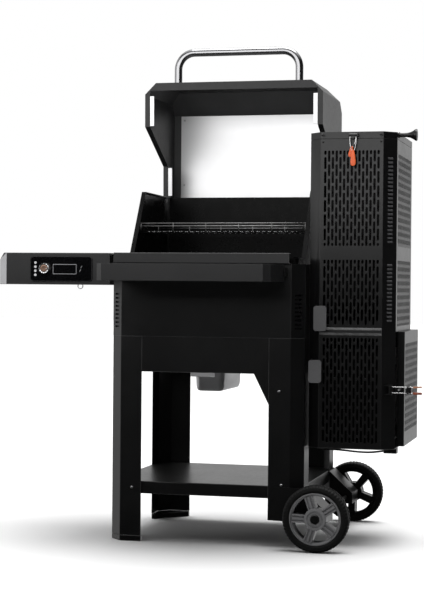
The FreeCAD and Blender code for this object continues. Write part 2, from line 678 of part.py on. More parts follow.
def make_firebox():
    span = (fire_left + wall, fire_right - wall)
    base = fire_floor + wall
    full_rise = (fire_floor - gauge, fire_rim + wall * 2)

    def cross_wall(face, inward, top):
        section = [
            (face, base), (face, top), (face + wall * inward, top),
            (face + wall * inward, ledge_height + wall),
            (face + (wall + ledge_depth) * inward, ledge_height + wall),
            (face + (wall + ledge_depth) * inward, ledge_height), (face + wall * inward, ledge_height),
            (face + wall * inward, base),
        ]
        return prism("YZ", section, *span)
    front_wall = cross_wall(fire_front, 1, fire_lip - wall)
    back_wall = cross_wall(fire_back, -1, fire_rim)
    corner_rise = (base, ledge_height)
    bevel_walls = cut(inside_bevels(0, *corner_rise), inside_bevels(wall, *corner_rise))
    corners = common(bevel_walls, block((fire_left, fire_right), (fire_front, fire_back), corner_rise))
    walls = [common(plate, inside_bevels(0, *full_rise)) for plate in (front_wall, back_wall)]
    front_and_back = fuse(*walls, corners)
    node(front_and_back, "firebox_front_and_back")

    left_side = fuse(firebox_side(fire_left, 1), rack_bracket(fire_left + wall, rack_left + rail_radius * 4))
    right_wall = cut(firebox_side(fire_right, -1), duct_opening())
    right_side = fuse(right_wall, rack_bracket(fire_right - wall, rack_right - rail_radius * 4))
    sides = []
    for side in (left_side, right_side):
        sides.append(cut(common(side, inside_bevels(0, *full_rise)), front_and_back))
    node(group(*sides), "firebox_side_walls")

    floor = block((fire_left, fire_right), (fire_front, fire_back), (fire_floor, base))
    floor = common(floor, inside_bevels(0, *full_rise))
    spout = rod("Z", (drain_x, drain_y, drain_end), base - drain_end, drain_radius + gauge)
    bore = rod("Z", (drain_x, drain_y, drain_end - wall), fire_floor + wall * 3 - drain_end, drain_radius)
    node(cut(fuse(floor, spout), bore), "firebox_floor")


def make_manifold():
    ridge_y = (manifold_front + manifold_back) * 0.5
    bottom = fire_floor + wall
    section = [
        (manifold_front, bottom), (manifold_front, manifold_eave), (ridge_y, manifold_ridge),
        (manifold_back, manifold_eave), (manifold_back, bottom), (manifold_back - wall, bottom),
        (manifold_back - wall, manifold_eave - gauge), (ridge_y, manifold_ridge - wall * 1.1),
        (manifold_front + wall, manifold_eave - gauge), (manifold_front + wall, bottom),
    ]
    node(prism("YZ", section, manifold_left, manifold_right), "heat_manifold")


def make_grate(left, right):
    """Cast grate: a frame, cross ribs and bars that run front to back."""
    bottom = ledge_height + wall
    span_x = (left, right)
    span_y = (fire_front + wall + grate_gap, fire_back - wall - grate_gap)
    rise = (bottom, bottom + grate_height)
    pieces = []
    pitch = (right - left - grate_bar) * (1 / grate_bars)
    for k in range(grate_bars + 1):
        edge = left + pitch * k
        pieces.append(block((edge, edge + grate_bar), span_y, rise))
    for share in (0, 1 / 3, 2 / 3, 1):
        edge = span_y[0] + (span_y[1] - span_y[0] - grate_bar) * share
        pieces.append(block(span_x, (edge, edge + grate_bar), (bottom, bottom + grate_height * 0.7)))
    return common(fuse(*pieces), inside_bevels(wall + grate_gap, *rise))


def make_grates():
    middle = (fire_left + fire_right) * 0.5
    side_gap = wall + grate_gap
    left_grate = make_grate(fire_left + side_gap, middle - gauge)
    right_grate = make_grate(middle + gauge, fire_right - side_gap)
    node(group(left_grate, right_grate), "cooking_grates")


def make_warming_rack():
    """Wire rack on two brackets, with a raised rail along its front edge."""
    length = rack_right - rack_left
    rails = []
    for rail_y, rail_z in ((rack_front, rack_z), (rack_front, rack_z + rack_step), (rack_back, rack_z)):
        rails.append(rod("X", (rack_left, rail_y, rail_z), length, rail_radius))
    wires = []
    pitch = (length - rail_radius * 4) * (1 / (rack_wires - 1))
    for k in range(rack_wires):
        wire_x = rack_left + rail_radius * 2 + pitch * k
        wires.append(rod("Y", (wire_x, rack_front, rack_z), rack_back - rack_front, wire_radius))
        if k % RACK_POST_EVERY == 0:
            wires.append(rod("Z", (wire_x, rack_front, rack_z), rack_step, wire_radius))
    node(fuse(*rails, *wires), "warming_rack")


def make_grease_tray():
    along = (tray_front, tray_back)
    rim = block((tray_left - tray_rim, tray_right + tray_rim), along, (tray_top - gauge, tray_top))
    pan = rounded(block((tray_left, tray_right), along, (tray_bottom, tray_top)), "Z", tab_corner)
    hollow = block((tray_left + gauge, tray_right - gauge), (tray_front + gauge, tray_back - gauge),
                   (tray_bottom + gauge, tray_top + gauge))
    node(cut(fuse(rim, pan), rounded(hollow, "Z", tab_corner - gauge)), "grease_tray")

    def runner(rim_edge, outward):
        """Hanger strip with a lip that holds the tray's rim."""
        web = rim_edge + slide_gap * outward
        lip_top = tray_top - gauge - slide_gap
        lip_inner = rim_edge - (tray_rim - slide_gap * 3) * outward
        section = [
            (web, fire_floor), (web + gauge * outward, fire_floor),
            (web + gauge * outward, lip_top - gauge), (lip_inner, lip_top - gauge),
            (lip_inner, lip_top), (web, lip_top),
        ]
        return prism("XZ", section, tray_front + ledge_depth, tray_back)
    left = runner(tray_left - tray_rim, -1)
    right = runner(tray_right + tray_rim, 1)
    node(group(left, right), "tray_runners")


# ---------------------------------------------------------------- side shelf
def make_side_shelf():
    def shape(inset, bottom):
        """Shelf box with a bevel on its end's top edge and on its front corner."""
        left = side_left + inset
        top = side_top - inset
        trim = side_bevel + inset * (EIGHTH_TURN_TAN - 1)
        ends = [
            (left, bottom), (left, top - trim), (left + trim, top), (body_left, top), (body_left, bottom),
        ]
        plan_trim = corner_cut + inset * (EIGHTH_TURN_TAN - 1)
        front = side_front + inset
        back = side_back - inset
        plan = [
            (left, front + plan_trim), (left + plan_trim, front), (body_left, front),
            (body_left, back), (left, back),
        ]
        return common(prism("XZ", ends, front, back), prism("XY", plan, bottom, top))
    hollow = shape(gauge, side_bottom - gauge)
    node(cut(shape(size_of(0), side_bottom), hollow), "side_shelf")


def make_controls():
    face = side_front - panel_depth
    plate = block((panel_left, panel_right), (face, side_front), (panel_bottom, panel_top))
    plate = rounded(plate, "Y", tab_corner)
    shaft = screw_radius - 1
    holes = [rod("Y", (dial_x, face - gauge, dial_z), panel_depth + gauge * 2, shaft + running_gap)]
    for k in range(4):
        hole_start = (button_x, face - gauge, button_low + button_pitch * k)
        holes.append(rod("Y", hole_start, panel_depth + gauge * 2, button_radius + running_gap))
    node(cut(plate, *holes), "control_panel")
    display_span = (display_left, display_left + display_width)
    display_rise = (display_z - display_height * 0.5, display_z + display_height * 0.5)
    node(block(display_span, (face - gauge * 0.5, face), display_rise), "display_window")
    dial_back = face - slide_gap
    dial_body = rod("Y", (dial_x, dial_back - dial_proud, dial_z), dial_proud, dial_radius)
    dial_shaft = rod("Y", (dial_x, dial_back, dial_z), panel_depth, shaft)
    node(fuse(dial_body, dial_shaft), "control_dial")
    for k in range(4):
        button_start = (button_x, face - button_proud, button_low + button_pitch * k)
        button = rod("Y", button_start, button_proud + panel_depth - 1.3, button_radius)
        node(button, "push_button_%d" % (k + 1))
    rim = gauge * 2
    inlet_right = body_left - inlet_width * 1.5
    inlet_left = inlet_right - inlet_width
    inlet_top = inlet_low + inlet_height
    inlet = block((inlet_left, inlet_right), (side_back, side_back + inlet_depth), (inlet_low, inlet_top))
    socket = block((inlet_left + rim, inlet_right - rim), (side_back + rim, side_back + inlet_depth + 1),
                   (inlet_low + rim, inlet_top - rim))
    node(cut(inlet, socket), "power_inlet")


def make_tool_hook():
    """Small chromed ring that hangs behind the side shelf's front skirt."""
    ring = doc.addObject("Part::Torus", "ring")
    ring_radius = button_radius * 2
    bind(ring, Radius1=ring_radius, Radius2=latch_wire)
    hook_y = side_front + gauge + latch_wire
    ring_z = side_bottom - latch_wire * 2.5
    place(ring, hook_x, hook_y, ring_z, TURN_TO["Y"])
    stem = rod("Z", (hook_x, hook_y, ring_z + ring_radius), ring_radius * 1.5, latch_wire)
    node(fuse(ring, stem), "tool_hook")


# --------------------------------------------------------------- front shelf
def make_front_ledge():
    """Folded channel along the cabinet's front edge."""
    section = [
        (body_front, body_top), (ledge_front, body_top), (ledge_front, ledge_top), (fire_front, ledge_top),
        (fire_front, ledge_top - gauge), (ledge_front + gauge, ledge_top - gauge),
        (ledge_front + gauge, body_top + gauge), (body_front, body_top + gauge),
    ]
    node(prism("YZ", section, ledge_left, ledge_right), "front_ledge")


def make_front_shelf():
    """Shelf that folds down in front of the cabinet on two pins."""
    def plan(inset):
        trim = front_bevel + inset * (EIGHTH_TURN_TAN - 1)
        left = front_left + inset
        right = front_right - inset
        front = front_edge + inset
        back = front_root - inset
        return [(left, back), (left, front + trim), (left + trim, front),
                (right - trim, front), (right, front + trim), (right, back)]
    outer = prism("XY", plan(size_of(0)), front_top - front_lip, front_top)
    inner = prism("XY", plan(gauge), front_top - front_lip - gauge, front_top - gauge)
    bore_start = (front_left - gauge, fold_y, fold_z)
    bore = rod("X", bore_start, front_right - front_left + gauge * 2, fold_pin + running_gap)
    node(cut(outer, inner, bore), "front_shelf")

    def bracket(lip, outward):
        gap = gauge * 1.25
        near = lip + gap * outward
        far = near + wall * outward
        low, high = sorted((near, far), key=lambda size: size.value)
        plate = block((low, high), (fold_y - screw_radius * 2, body_front), (fold_z - 12, fold_z + 12))
        pin_end = lip - (gauge + gap) * outward
        low, high = sorted((far, pin_end), key=lambda size: size.value)
        return fuse(plate, rod("X", (low, fold_y, fold_z), high - low, fold_pin))
    node(group(bracket(front_left, -1), bracket(front_right, 1)), "shelf_brackets")


# ----------------------------------------------------------------------- lid
def lid_outline(inset):
    """Side view of the open lid, set in by a skin thickness all round."""
    skin = size_of(inset)
    crown = lid_crown - skin
    trim = skin * EIGHTH_TURN_TAN
    return [
        (lid_toe + skin, lid_foot + skin), (cheek_low_y + skin, cheek_low + trim),
        (cheek_high_y + skin, cheek_high + trim), (brow_y + skin, brow + skin), (lid_front + skin, crown),
        (crown_back - trim, crown), (lid_back - skin, lid_shoulder - trim), (lid_back - skin, lid_tail + skin),
    ]


def lid_mouth():
    """Region in front of the lid's rim, which opens its hollow."""
    clear = cheek_high_y - wall * 3.5
    return [
        (lid_toe + 1, lid_foot + gauge), (lid_toe + wall + 1, lid_foot + gauge), (cheek_low_y + wall, cheek_low),
        (cheek_high_y + wall, cheek_high + wall), (brow_y + wall, brow + wall),
        (lid_front + wall, lid_crown - rim_band), (lid_front - wall * 4, lid_crown - rim_band),
        (lid_front - wall * 4, brow - wall * 5), (clear, cheek_high - wall * 5), (clear, cheek_low - rim_band),
        (lid_toe - wall * 5, lid_foot + gauge),
    ]


def lid_front_view(inset):
    """Front view of the open lid, with its two upper edges bevelled."""
    trim = corner_cut + inset * (EIGHTH_TURN_TAN - 1)
    left = lid_left + inset
    right = lid_right - inset
    top = lid_crown - inset
    foot = lid_foot - wall * 4
    return [(left, foot), (left, top - trim), (left + trim, top), (right - trim, top), (right, top - trim),
            (right, foot)]


def make_lid():
    view_depth = (lid_front - corner_cut * 0.5, lid_back + corner_cut * 0.5)
    outer = common(prism("YZ", lid_outline(0), lid_left, lid_right),
                   prism("XZ", lid_front_view(size_of(0)), *view_depth))
    inner = common(prism("YZ", lid_outline(gauge), lid_left + gauge, lid_right - gauge),
                   prism("XZ", lid_front_view(gauge), *view_depth))
    mouth = prism("YZ", lid_mouth(), lid_left + rim_painted, lid_right - rim_painted)
    rear_gap = block((lid_left + gauge, lid_right - gauge), (lid_toe - wall * 12, lid_toe + gauge * 3.5),
                     (lid_foot + gauge, cheek_low + gauge))
    node(cut(outer, inner, mouth, rear_gap), "lid_shell")

    liner_gap = gauge * 3
    liner_y = lid_back - gauge - liner_gap
    liner = block((lid_left + liner_inset, lid_right - liner_inset), (liner_y, liner_y + gauge),
                  (liner_low, liner_high))
    spacers = []
    spacer_length = liner_gap - gauge * 0.5
    for spacer_x in (lid_left + liner_inset * 2, lid_right - liner_inset * 2):
        for spacer_z in (liner_low + liner_inset, liner_high - liner_inset):
            spacers.append(rod("Y", (spacer_x, liner_y + gauge * 0.5, spacer_z), spacer_length, gauge * 2))
    node(fuse(liner, *spacers), "lid_liner")

    def strips(edge, inward):
        """Two bright strips that finish the rim beside its painted part."""
        near = edge + rim_painted * inward
        far = near + rim_bright * inward
        low, high = sorted((near, far), key=lambda size: size.value)
        ends = (cheek_low + gauge * 2, cheek_high - gauge * 2)
        lower = [(cheek_low_y, ends[0]), (cheek_low_y + gauge, ends[0]), (cheek_high_y + gauge, ends[1]),
                 (cheek_high_y, ends[1])]
        upper = [(brow_y, brow + gauge), (brow_y + gauge, brow + gauge), (lid_front + gauge, strip_end),
                 (lid_front, strip_end)]
        return [prism("YZ", lower, low, high), prism("YZ", upper, low, high)]
    node(group(*strips(lid_left, 1), *strips(lid_right, -1)), "lid_rim_strips")

    def arm(face, outward):
        """Plate from the lid's side to its pivot bolt."""
        head = arm_thickness * 6.5
        neck = lid_pin * 2
        toe = lid_toe + gauge * 3.5
        section = [
            (lid_pivot_y - head, lid_pivot_z - lid_pin * 2.5), (lid_pivot_y - head, lid_pivot_z + lid_pin * 2.5),
            (lid_pivot_y - neck, lid_pivot_z + head), (toe, arm_high), (arm_back, arm_high),
            (arm_back, arm_low + arm_thickness * 5), (toe, arm_low), (lid_pivot_y - neck, lid_pivot_z - head),
        ]
        low, high = sorted((face, face + arm_thickness * outward), key=lambda size: size.value)
        bore = rod("X", (low - gauge, lid_pivot_y, lid_pivot_z), arm_thickness + gauge * 2, lid_pin + running_gap)
        return cut(prism("YZ", section, low, high), bore)
    node(group(arm(lid_left, -1), arm(lid_right, 1)), "lid_hinge_arms")

    def bolt(wall_face, arm_face, outward):
        """Shank, head and spacing collar along the lid's pivot line."""
        head_face = arm_face + (arm_thickness + slide_gap) * outward
        end = head_face + wall * outward
        shank = sorted((wall_face, head_face), key=lambda size: size.value)
        head = sorted((head_face, end), key=lambda size: size.value)
        collar = sorted((wall_face, arm_face - slide_gap * 6 * outward), key=lambda size: size.value)
        start = (lid_pivot_y, lid_pivot_z)
        return fuse(rod("X", (shank[0], *start), shank[1] - shank[0], lid_pin),
                    rod("X", (head[0], *start), head[1] - head[0], lid_pin * 1.8),
                    rod("X", (collar[0], *start), collar[1] - collar[0], lid_pin * 1.8))
    node(group(bolt(fire_left, lid_left, -1), bolt(fire_right, lid_right, 1)), "lid_pivot_bolts")


def make_handle():
    """Bent tube handle on the lid, with a collar at each end."""
    y = handle_y.value
    base = lid_crown.value
    top = base + handle_rise.value
    corners = [
        FreeCAD.Vector(handle_left.value, y, base), FreeCAD.Vector(handle_left.value, y, top),
        FreeCAD.Vector(handle_right.value, y, top), FreeCAD.Vector(handle_right.value, y, base),
    ]
    bend = handle_bend.value
    handle = doc.addObject("Part::Feature", "handle")
    handle.Shape = tube_along(corners, [bend, bend], handle_radius.value)[0]
    handle.Placement = FreeCAD.Placement()
    collars = []
    for leg_x in (handle_left, handle_right):
        collars.append(rod("Z", (leg_x, handle_y, lid_crown), wall, handle_radius * 1.45))
    node(fuse(handle, *collars), "lid_handle")


# --------------------------------------------------------------------- tower
def shutter_slots():
    """Slots in the front of the tower for the two shutter plates."""
    slots = []
    for left, low, high in ((upper_tab_left, upper_tab_low, upper_tab_high),
                            (lower_tab_left, lower_tab_low, lower_tab_high)):
        slots.append(block((left - gauge, left + gauge * 2), (tower_front - gauge, tower_front + corner_cut * 1.6),
                           (low - gauge, high + gauge)))
    return slots


def grate_supports():
    """Strips across the front and back of the tower that carry the fire grate."""
    rest_z = duct_low - grate_height * 2
    span = (tower_left + corner_cut, tower_right - corner_cut)
    reach = hopper_in + grate_bar
    return [
        block(span, (tower_front + gauge, tower_front + reach), (rest_z - gauge, rest_z)),
        block(span, (tower_back - reach, tower_back - gauge), (rest_z - gauge, rest_z)),
    ]


def ash_bin_skids():
    """Two runners on the tower's floor that carry the ash bin."""
    skids = []
    for edge in (tower_front + ash_in * 3, tower_back - ash_in * 3):
        skids.append(block((tower_left + ash_in, tower_right - ash_in), (edge, edge + gauge * 2),
                           (tower_bottom + gauge, ash_low)))
    return skids


def make_tower():
    flat_front = (tower_left + corner_cut, tower_right - corner_cut)
    flat_side = (tower_front + corner_cut, tower_back - corner_cut)
    floor_top = tower_bottom + gauge
    plan = octagon(tower_left, tower_right, tower_front, tower_back, corner_cut)
    floor = prism("XY", plan, tower_bottom, floor_top)

    outer = prism("XY", plan, floor_top, tower_top)
    inner_plan = octagon(tower_left, tower_right, tower_front, tower_back, corner_cut, gauge)
    inner = prism("XY", inner_plan, floor_top - gauge, tower_top + gauge)
    rise = (floor_top - 1, tower_top + 1)
    front_window = block(flat_front, (tower_front - gauge, tower_front + gauge * 2), rise)
    side_window = block((tower_right - gauge * 2, tower_right + gauge), flat_side, rise)
    shell = cut(outer, inner, front_window, side_window, *shutter_slots(), duct_opening())
    node(fuse(shell, floor, *grate_supports(), *ash_bin_skids()), "tower_casing")

    front_skin = (tower_front, tower_front + gauge)
    upper_panel = block(flat_front, front_skin, (tower_split + gauge * 6, tower_top))
    node(cut(upper_panel, *shutter_slots()), "front_upper_panel")
    node(block(flat_front, front_skin, (floor_top, tower_split - gauge * 5.5)), "front_lower_panel")
    bar_low = tower_split - gauge * 5.5
    bar_points = [
        (tower_front + gauge, bar_low), (tower_front, bar_low),
        (tower_front - gauge * 1.5, bar_low + gauge * 2),
        (tower_front - gauge * 1.5, bar_low + bar_height - gauge * 2), (tower_front, bar_low + bar_height),
        (tower_front + gauge, bar_low + bar_height),
    ]
    node(cut(prism("YZ", bar_points, *flat_front), *shutter_slots()), "front_cross_bar")
    side_skin = (tower_right - gauge, tower_right)
    node(block(side_skin, flat_side, (tower_split, tower_top)), "tower_side_panel")


def make_hopper():
    """Charcoal hopper liner, its fire grate and the ash bin under it."""
    left = tower_left + hopper_in
    right = tower_right - hopper_in
    front = tower_front + hopper_in
    back = tower_back - hopper_in
    outer = block((left, right), (front, back), (hopper_low, hopper_high))
    inner = block((left + gauge, right - gauge), (front + gauge, back - gauge),
                  (hopper_low - 1, hopper_high + 1))
    collar_out = block((tower_left + gauge, tower_right - gauge),
                       (tower_front + corner_cut, tower_back - corner_cut),
                       (hopper_high - gauge, hopper_high))
    node(cut(fuse(outer, collar_out), inner), "charcoal_hopper")

    grate_z = duct_low - grate_height * 2
    bars = []
    bar_rise = (grate_z, grate_z + grate_height)
    bar_pitch = grate_bar * 2.2
    for k in range(FIRE_BARS):
        bar_left = left + grate_bar + bar_pitch * k
        bars.append(block((bar_left, bar_left + grate_bar), (front, back), bar_rise))
    for edge in (front, back - grate_bar):
        bars.append(block((left - gauge, right + gauge), (edge, edge + grate_bar), bar_rise))
    node(fuse(*bars), "fire_grate")

    bin_left = tower_left + ash_in
    bin_right = tower_right - ash_in
    bin_front = tower_front + ash_in * 2
    bin_back = tower_back - ash_in * 2
    bin_outer = block((bin_left, bin_right), (bin_front, bin_back), (ash_low, ash_high))
    bin_inner = block((bin_left + gauge, bin_right - gauge), (bin_front + gauge, bin_back - gauge),
                      (ash_low + gauge, ash_high + gauge))
    node(cut(bin_outer, bin_inner), "ash_bin")


hinge_width = dim("hinge_width", 40, "hopper lid hinge width")
knuckle_width = dim("knuckle_width", 15, "middle knuckle of a hopper lid hinge")
ear_height = dim("ear_height", 30, "height of the ash door's ears")
stay_height = dim("stay_height", 11, "height of a stay that holds the door's pin")
HOPPER_HINGES = (tower_left + hinge_width * 1.5, tower_right - hinge_width * 2.5)
DOOR_EARS = (door_low + ear_height * 1.4, door_high - ear_height * 2.4)


def latch(axis, pivot, reach, sleeve):
    """Wire bail latch: a hub, two free wires and two soft sleeves.

    axis is the hub's axis. The wires hang along -Z from an X hub, and run
    along +X from a Z hub.
    """
    pivot = [size_of(value) for value in pivot]
    index = "XYZ".index(axis)
    hub_start = list(pivot)
    hub_half = latch_spread + latch_wire + running_gap * 8
    root = latch_hub * 0.7
    hub_start[index] = hub_start[index] - hub_half
    pieces = [rod(axis, tuple(hub_start), hub_half * 2, latch_hub)]
    for side in (-1, 1):
        foot = list(pivot)
        foot[index] = foot[index] + latch_spread * side
        run = "X"
        sleeve_foot = list(foot)
        if axis == "X":
            run = "Z"
            foot[2] = foot[2] - reach + gauge
            sleeve_foot[2] = sleeve_foot[2] - reach
        else:
            foot[0] = foot[0] + root
            sleeve_foot[0] = sleeve_foot[0] + reach - sleeve
        pieces.append(rod(run, tuple(foot), reach - root - gauge, latch_wire))
        narrow = sleeve_radius * 0.8
        pieces.append(rod(run, tuple(sleeve_foot), sleeve, narrow))
    bore_start = list(pivot)
    bore_start[index] = bore_start[index] - hub_half - 1
    bore = rod(axis, tuple(bore_start), hub_half * 2 + 2, latch_pin + running_gap)
    return cut(fuse(*pieces), bore)


def make_hopper_lid():
    low = tower_top + slide_gap * 2
    high = low + cap_height
    outer = prism("XY", octagon(tower_left, tower_right, tower_front, tower_back, corner_cut), low, high)
    inner_plan = octagon(tower_left, tower_right, tower_front, tower_back, corner_cut, gauge)
    inner = prism("XY", inner_plan, low - 1, high - gauge)
    lug_reach = latch_spread + latch_wire + slide_gap * 2
    lugs = []
    for side in (-1, 1):
        near = hopper_latch_x + lug_reach * side
        far = near + wall * side
        edges = sorted((near, far), key=lambda size: size.value)
        lugs.append(block(edges, (hopper_latch_y - latch_pin * 1.4, tower_front + gauge),
                          (hopper_latch_z - latch_pin * 1.4, hopper_latch_z + latch_pin * 1.4)))
    pin = rod("X", (hopper_latch_x - lug_reach, hopper_latch_y, hopper_latch_z), lug_reach * 2, latch_pin)
    hinge_y = tower_back + door_pin * 2
    hinge_z = tower_top + slide_gap
    knuckles = []
    for hinge_left in HOPPER_HINGES:
        hinge_x = hinge_left + (hinge_width - knuckle_width) * 0.5
        knuckle = rod("X", (hinge_x, hinge_y, hinge_z), knuckle_width, door_pin * 1.5)
        leaf = block((hinge_x, hinge_x + knuckle_width), (tower_back, hinge_y), (low, low + door_pin))
        bore = rod("X", (hinge_x - 1, hinge_y, hinge_z), knuckle_width + 2, door_pin * 0.8 + running_gap)
        knuckles.append(cut(fuse(knuckle, leaf), bore))
    node(fuse(cut(outer, inner), pin, *lugs, *knuckles), "hopper_lid")

    stem = rod("X", (tower_right, knob_y, knob_z), knob_reach * 0.55, knob_stem)
    flare = cone("X", (tower_right + knob_reach * 0.5, knob_y, knob_z), knob_reach * 0.4, knob_stem,
                 knob_flare * 0.9)
    face = rod("X", (tower_right + knob_reach * 0.88, knob_y, knob_z), knob_reach * 0.12, knob_flare)
    collar = rod("X", (tower_right, knob_y, knob_z - gauge), wall, knob_stem * 1.1)
    node(fuse(stem, flare, face, collar), "hopper_lid_knob")

    latch_pivot = (hopper_latch_x, hopper_latch_y, hopper_latch_z)
    node(latch("X", latch_pivot, hopper_latch_reach, hopper_latch_reach * 0.48), "hopper_latch")
    leaves = []
    end_width = (hinge_width - knuckle_width) * 0.5 - slide_gap
    for hinge_x in HOPPER_HINGES:
        pieces = [rod("X", (hinge_x, hinge_y, hinge_z), hinge_width, door_pin * 0.8)]
        for knuckle_x in (hinge_x, hinge_x + hinge_width - end_width):
            pieces.append(rod("X", (knuckle_x, hinge_y, hinge_z), end_width, door_pin * 1.5))
            pieces.append(block((knuckle_x, knuckle_x + end_width), (tower_back, hinge_y),
                                (hinge_z - door_pin * 8, hinge_z)))
        leaves.append(fuse(*pieces))
    return leaves


def make_ash_door():
    """Proud box door with a keeper tab; it turns on a pin at its back edge."""
    left = tower_right + slide_gap
    right = tower_right + door_proud
    outer = block((left, right), (door_front, door_back), (door_low, door_high))
    inner = block((left - 1, right - gauge), (door_front + gauge, door_back - gauge),
                  (door_low + gauge, door_high - gauge))
    tab = block((right - gauge * 6, right - gauge * 4.5), (door_latch_y - gauge * 3, door_front + gauge),
                (door_latch_z - wall, door_latch_z + wall))
    pin_x = tower_right + door_proud * 0.5
    ears = []
    for ear_z in DOOR_EARS:
        ear = block((pin_x - gauge * 2.5, pin_x + gauge * 2.5), (door_back - gauge, door_pin_y + door_pin * 1.7),
                    (ear_z, ear_z + ear_height))
        bore = rod("Z", (pin_x, door_pin_y, ear_z - 1), ear_height + 2, door_pin + running_gap)
        ears.append(cut(ear, bore))
    node(fuse(cut(outer, inner), tab, *ears), "ash_door")

    bevel_sum = tower_right + tower_back - corner_cut
    stay_front = door_pin_y - door_pin
    stay_back = door_pin_y + door_pin
    stay_plan = [(bevel_sum - stay_front, stay_front), (pin_x, stay_front), (pin_x, stay_back),
                 (bevel_sum - stay_back, stay_back)]
    mounts = []
    for ear_z in DOOR_EARS:
        pin_low = ear_z - stay_height - slide_gap * 2
        pin_high = ear_z + ear_height + stay_height + slide_gap * 2
        pin = rod("Z", (pin_x, door_pin_y, pin_low), pin_high - pin_low, door_pin)
        for foot_z in (pin_low, pin_high - stay_height):
            stay = prism("XY", stay_plan, foot_z, foot_z + stay_height)
            pin = fuse(pin, stay)
        mounts.append(pin)
    reach = door_latch_end - door_latch_x
    node(latch("Z", (door_latch_x, door_latch_y, door_latch_z), reach, reach * 0.28), "door_latch")
    return mounts


def latch_mounts():
    """Keeper peg for the hopper latch, and the lugs and pin of the door latch."""
    peg_z = hopper_latch_z - corner_cut * 0.8
    peg_length = tower_front - hopper_latch_y + latch_pin * 2
    peg = rod("Y", (hopper_latch_x, hopper_latch_y - latch_pin * 2, peg_z), peg_length, latch_pin)
    lug_reach = latch_spread + latch_wire + slide_gap * 2
    pin = rod("Z", (door_latch_x, door_latch_y, door_latch_z - lug_reach), lug_reach * 2, latch_pin)
    lugs = []
    bevel_x = tower_right - corner_cut
    lug_root = gauge * 4
    lug_half = gauge * 2.5
    for side in (-1, 1):
        near = door_latch_z + lug_reach * side
        far = near + wall * side
        edges = sorted((near, far), key=lambda size: size.value)
        lug_points = [
            (bevel_x + lug_root, tower_front + lug_root), (door_latch_x - lug_half, door_latch_y - lug_half),
            (door_latch_x + lug_half, door_latch_y - lug_half),
            (door_latch_x + lug_half, door_latch_y + lug_half),
            (bevel_x + corner_cut - lug_root, tower_front + corner_cut - lug_root),
        ]
        lugs.append(prism("XY", lug_points, *edges))
    return [peg, fuse(pin, *lugs)]


def make_shutter(label, left, low, high):
    """Sliding shutter: a plate inside the tower and a tab in front of it."""
    tab = block((left, left + tab_width), (tab_front, tab_front + tab_thickness), (low, high))
    tab = rounded(tab, "Y", tab_corner)
    plate_z = (low + tab_corner * 0.4, high - tab_corner * 0.4)
    near_plate = block((left, left + gauge), (tab_front + tab_thickness * 0.5, shutter_back), plate_z)
    node(fuse(tab, near_plate), label)


def make_blower():
    fan_right = fan_left + fan_width
    fan_back = fan_front + fan_width
    middle = (fan_left + fan_width * 0.5, fan_front + fan_width * 0.5)
    box = block((fan_left, fan_right), (fan_front, fan_back), (fan_bottom, tower_bottom))
    box = rounded(box, "Z", screw_radius)
    bore = rod("Z", (*middle, fan_bottom + gauge), tower_bottom - fan_bottom, fan_bore)
    grille = rod("Z", (*middle, fan_bottom - 1), tower_bottom - fan_bottom, fan_bore * 0.72)
    spindle = rod("Z", (*middle, tower_bottom - gauge * 4), gauge * 4, latch_pin)
    stay = block((fan_left, fan_right), (middle[1] - wall, middle[1] + wall), (tower_bottom - gauge, tower_bottom))
    node(fuse(cut(box, bore, grille), stay, spindle), "blower_housing")

    low = fan_bottom + wall
    high = tower_bottom - gauge - 1
    hub = rod("Z", (*middle, low), high - low, fan_hub)
    blades = []
    for k in range(fan_blades):
        turn = FreeCAD.Rotation(FreeCAD.Vector(0, 0, 1), 360 * k / fan_blades)
        across = turn.multVec(FreeCAD.Vector(0, -gauge.value / 2, 0))
        blade = doc.addObject("Part::Box", "blade")
        bind(blade, Length=fan_bore - gauge, Width=gauge, Height=high - low - 1)
        blades.append(place(blade, middle[0] + across.x, middle[1] + across.y, low, turn))
    pocket = rod("Z", (*middle, tower_bottom - gauge * 5), gauge * 6, latch_pin + running_gap)
    node(cut(fuse(hub, *blades), pocket), "blower_rotor")


CABLE_ROUTE = [
    (533.5, -30, 283), (509, -30.4, 278.5), (478, -31.5, 276.5), (443, -33, 278), (406, -33, 281.5),
    (368, -29, 283), (330, -22, 281), (302, -12, 313), (281, -4, 367), (268, 4, 429), (262, 8, 494),
    (260, 10, 566), (260, 10.5, 632),
]


def make_cable():
    """Blower lead: it hangs under the tower and rises inside the stand."""
    corners = [FreeCAD.Vector(*point) for point in CABLE_ROUTE]
    bends = []
    for k in range(1, len(corners) - 1):
        before = corners[k - 1].sub(corners[k])
        after = corners[k + 1].sub(corners[k])
        half_turn = (math.pi - before.getAngle(after)) / 2
        bends.append(0.45 * min(before.Length, after.Length) / math.tan(half_turn))
    cable = doc.addObject("Part::Feature", "cable")
    cable.Shape, length = tube_along(corners, bends, cable_radius.value)
    cable.Placement = FreeCAD.Placement()
    print("cable length: %.0f" % length)
    node(cable, "blower_cable")
    end = CABLE_ROUTE[-1]
    gland = rod("Z", (end[0], end[1], fire_floor - wall * 6), wall * 6, cable_radius * 2.2)
    bore = rod("Z", (end[0], end[1], fire_floor - wall * 7), wall * 8, cable_radius + running_gap)
    node(cut(gland, bore), "cable_gland")


def make_screws():
    """Screw heads on the stand, the ledge and the tower."""
    def facing_front(x, face, z):
        return rod("Y", (x, face - screw_height, z), screw_height, screw_radius)
    leg_mid_left = body_left + leg_face * 0.72
    leg_mid_right = body_right - leg_face * 0.6
    leg_high_right = body_right - leg_face * 0.69
    heads = [
        facing_front(leg_mid_left, body_front, shelf_top - shelf_skirt * 0.5),
        facing_front(leg_mid_right, body_front, shelf_top + screw_radius),
        facing_front(leg_high_right, body_front, apron_bottom - leg_face * 0.5),
    ]
    inset = corner_cut + screw_radius * 2
    for x in (tower_left + inset, tower_right - inset):
        heads.append(facing_front(x, tower_front, tower_top - screw_radius * 3))
    node(group(*heads), "screws")


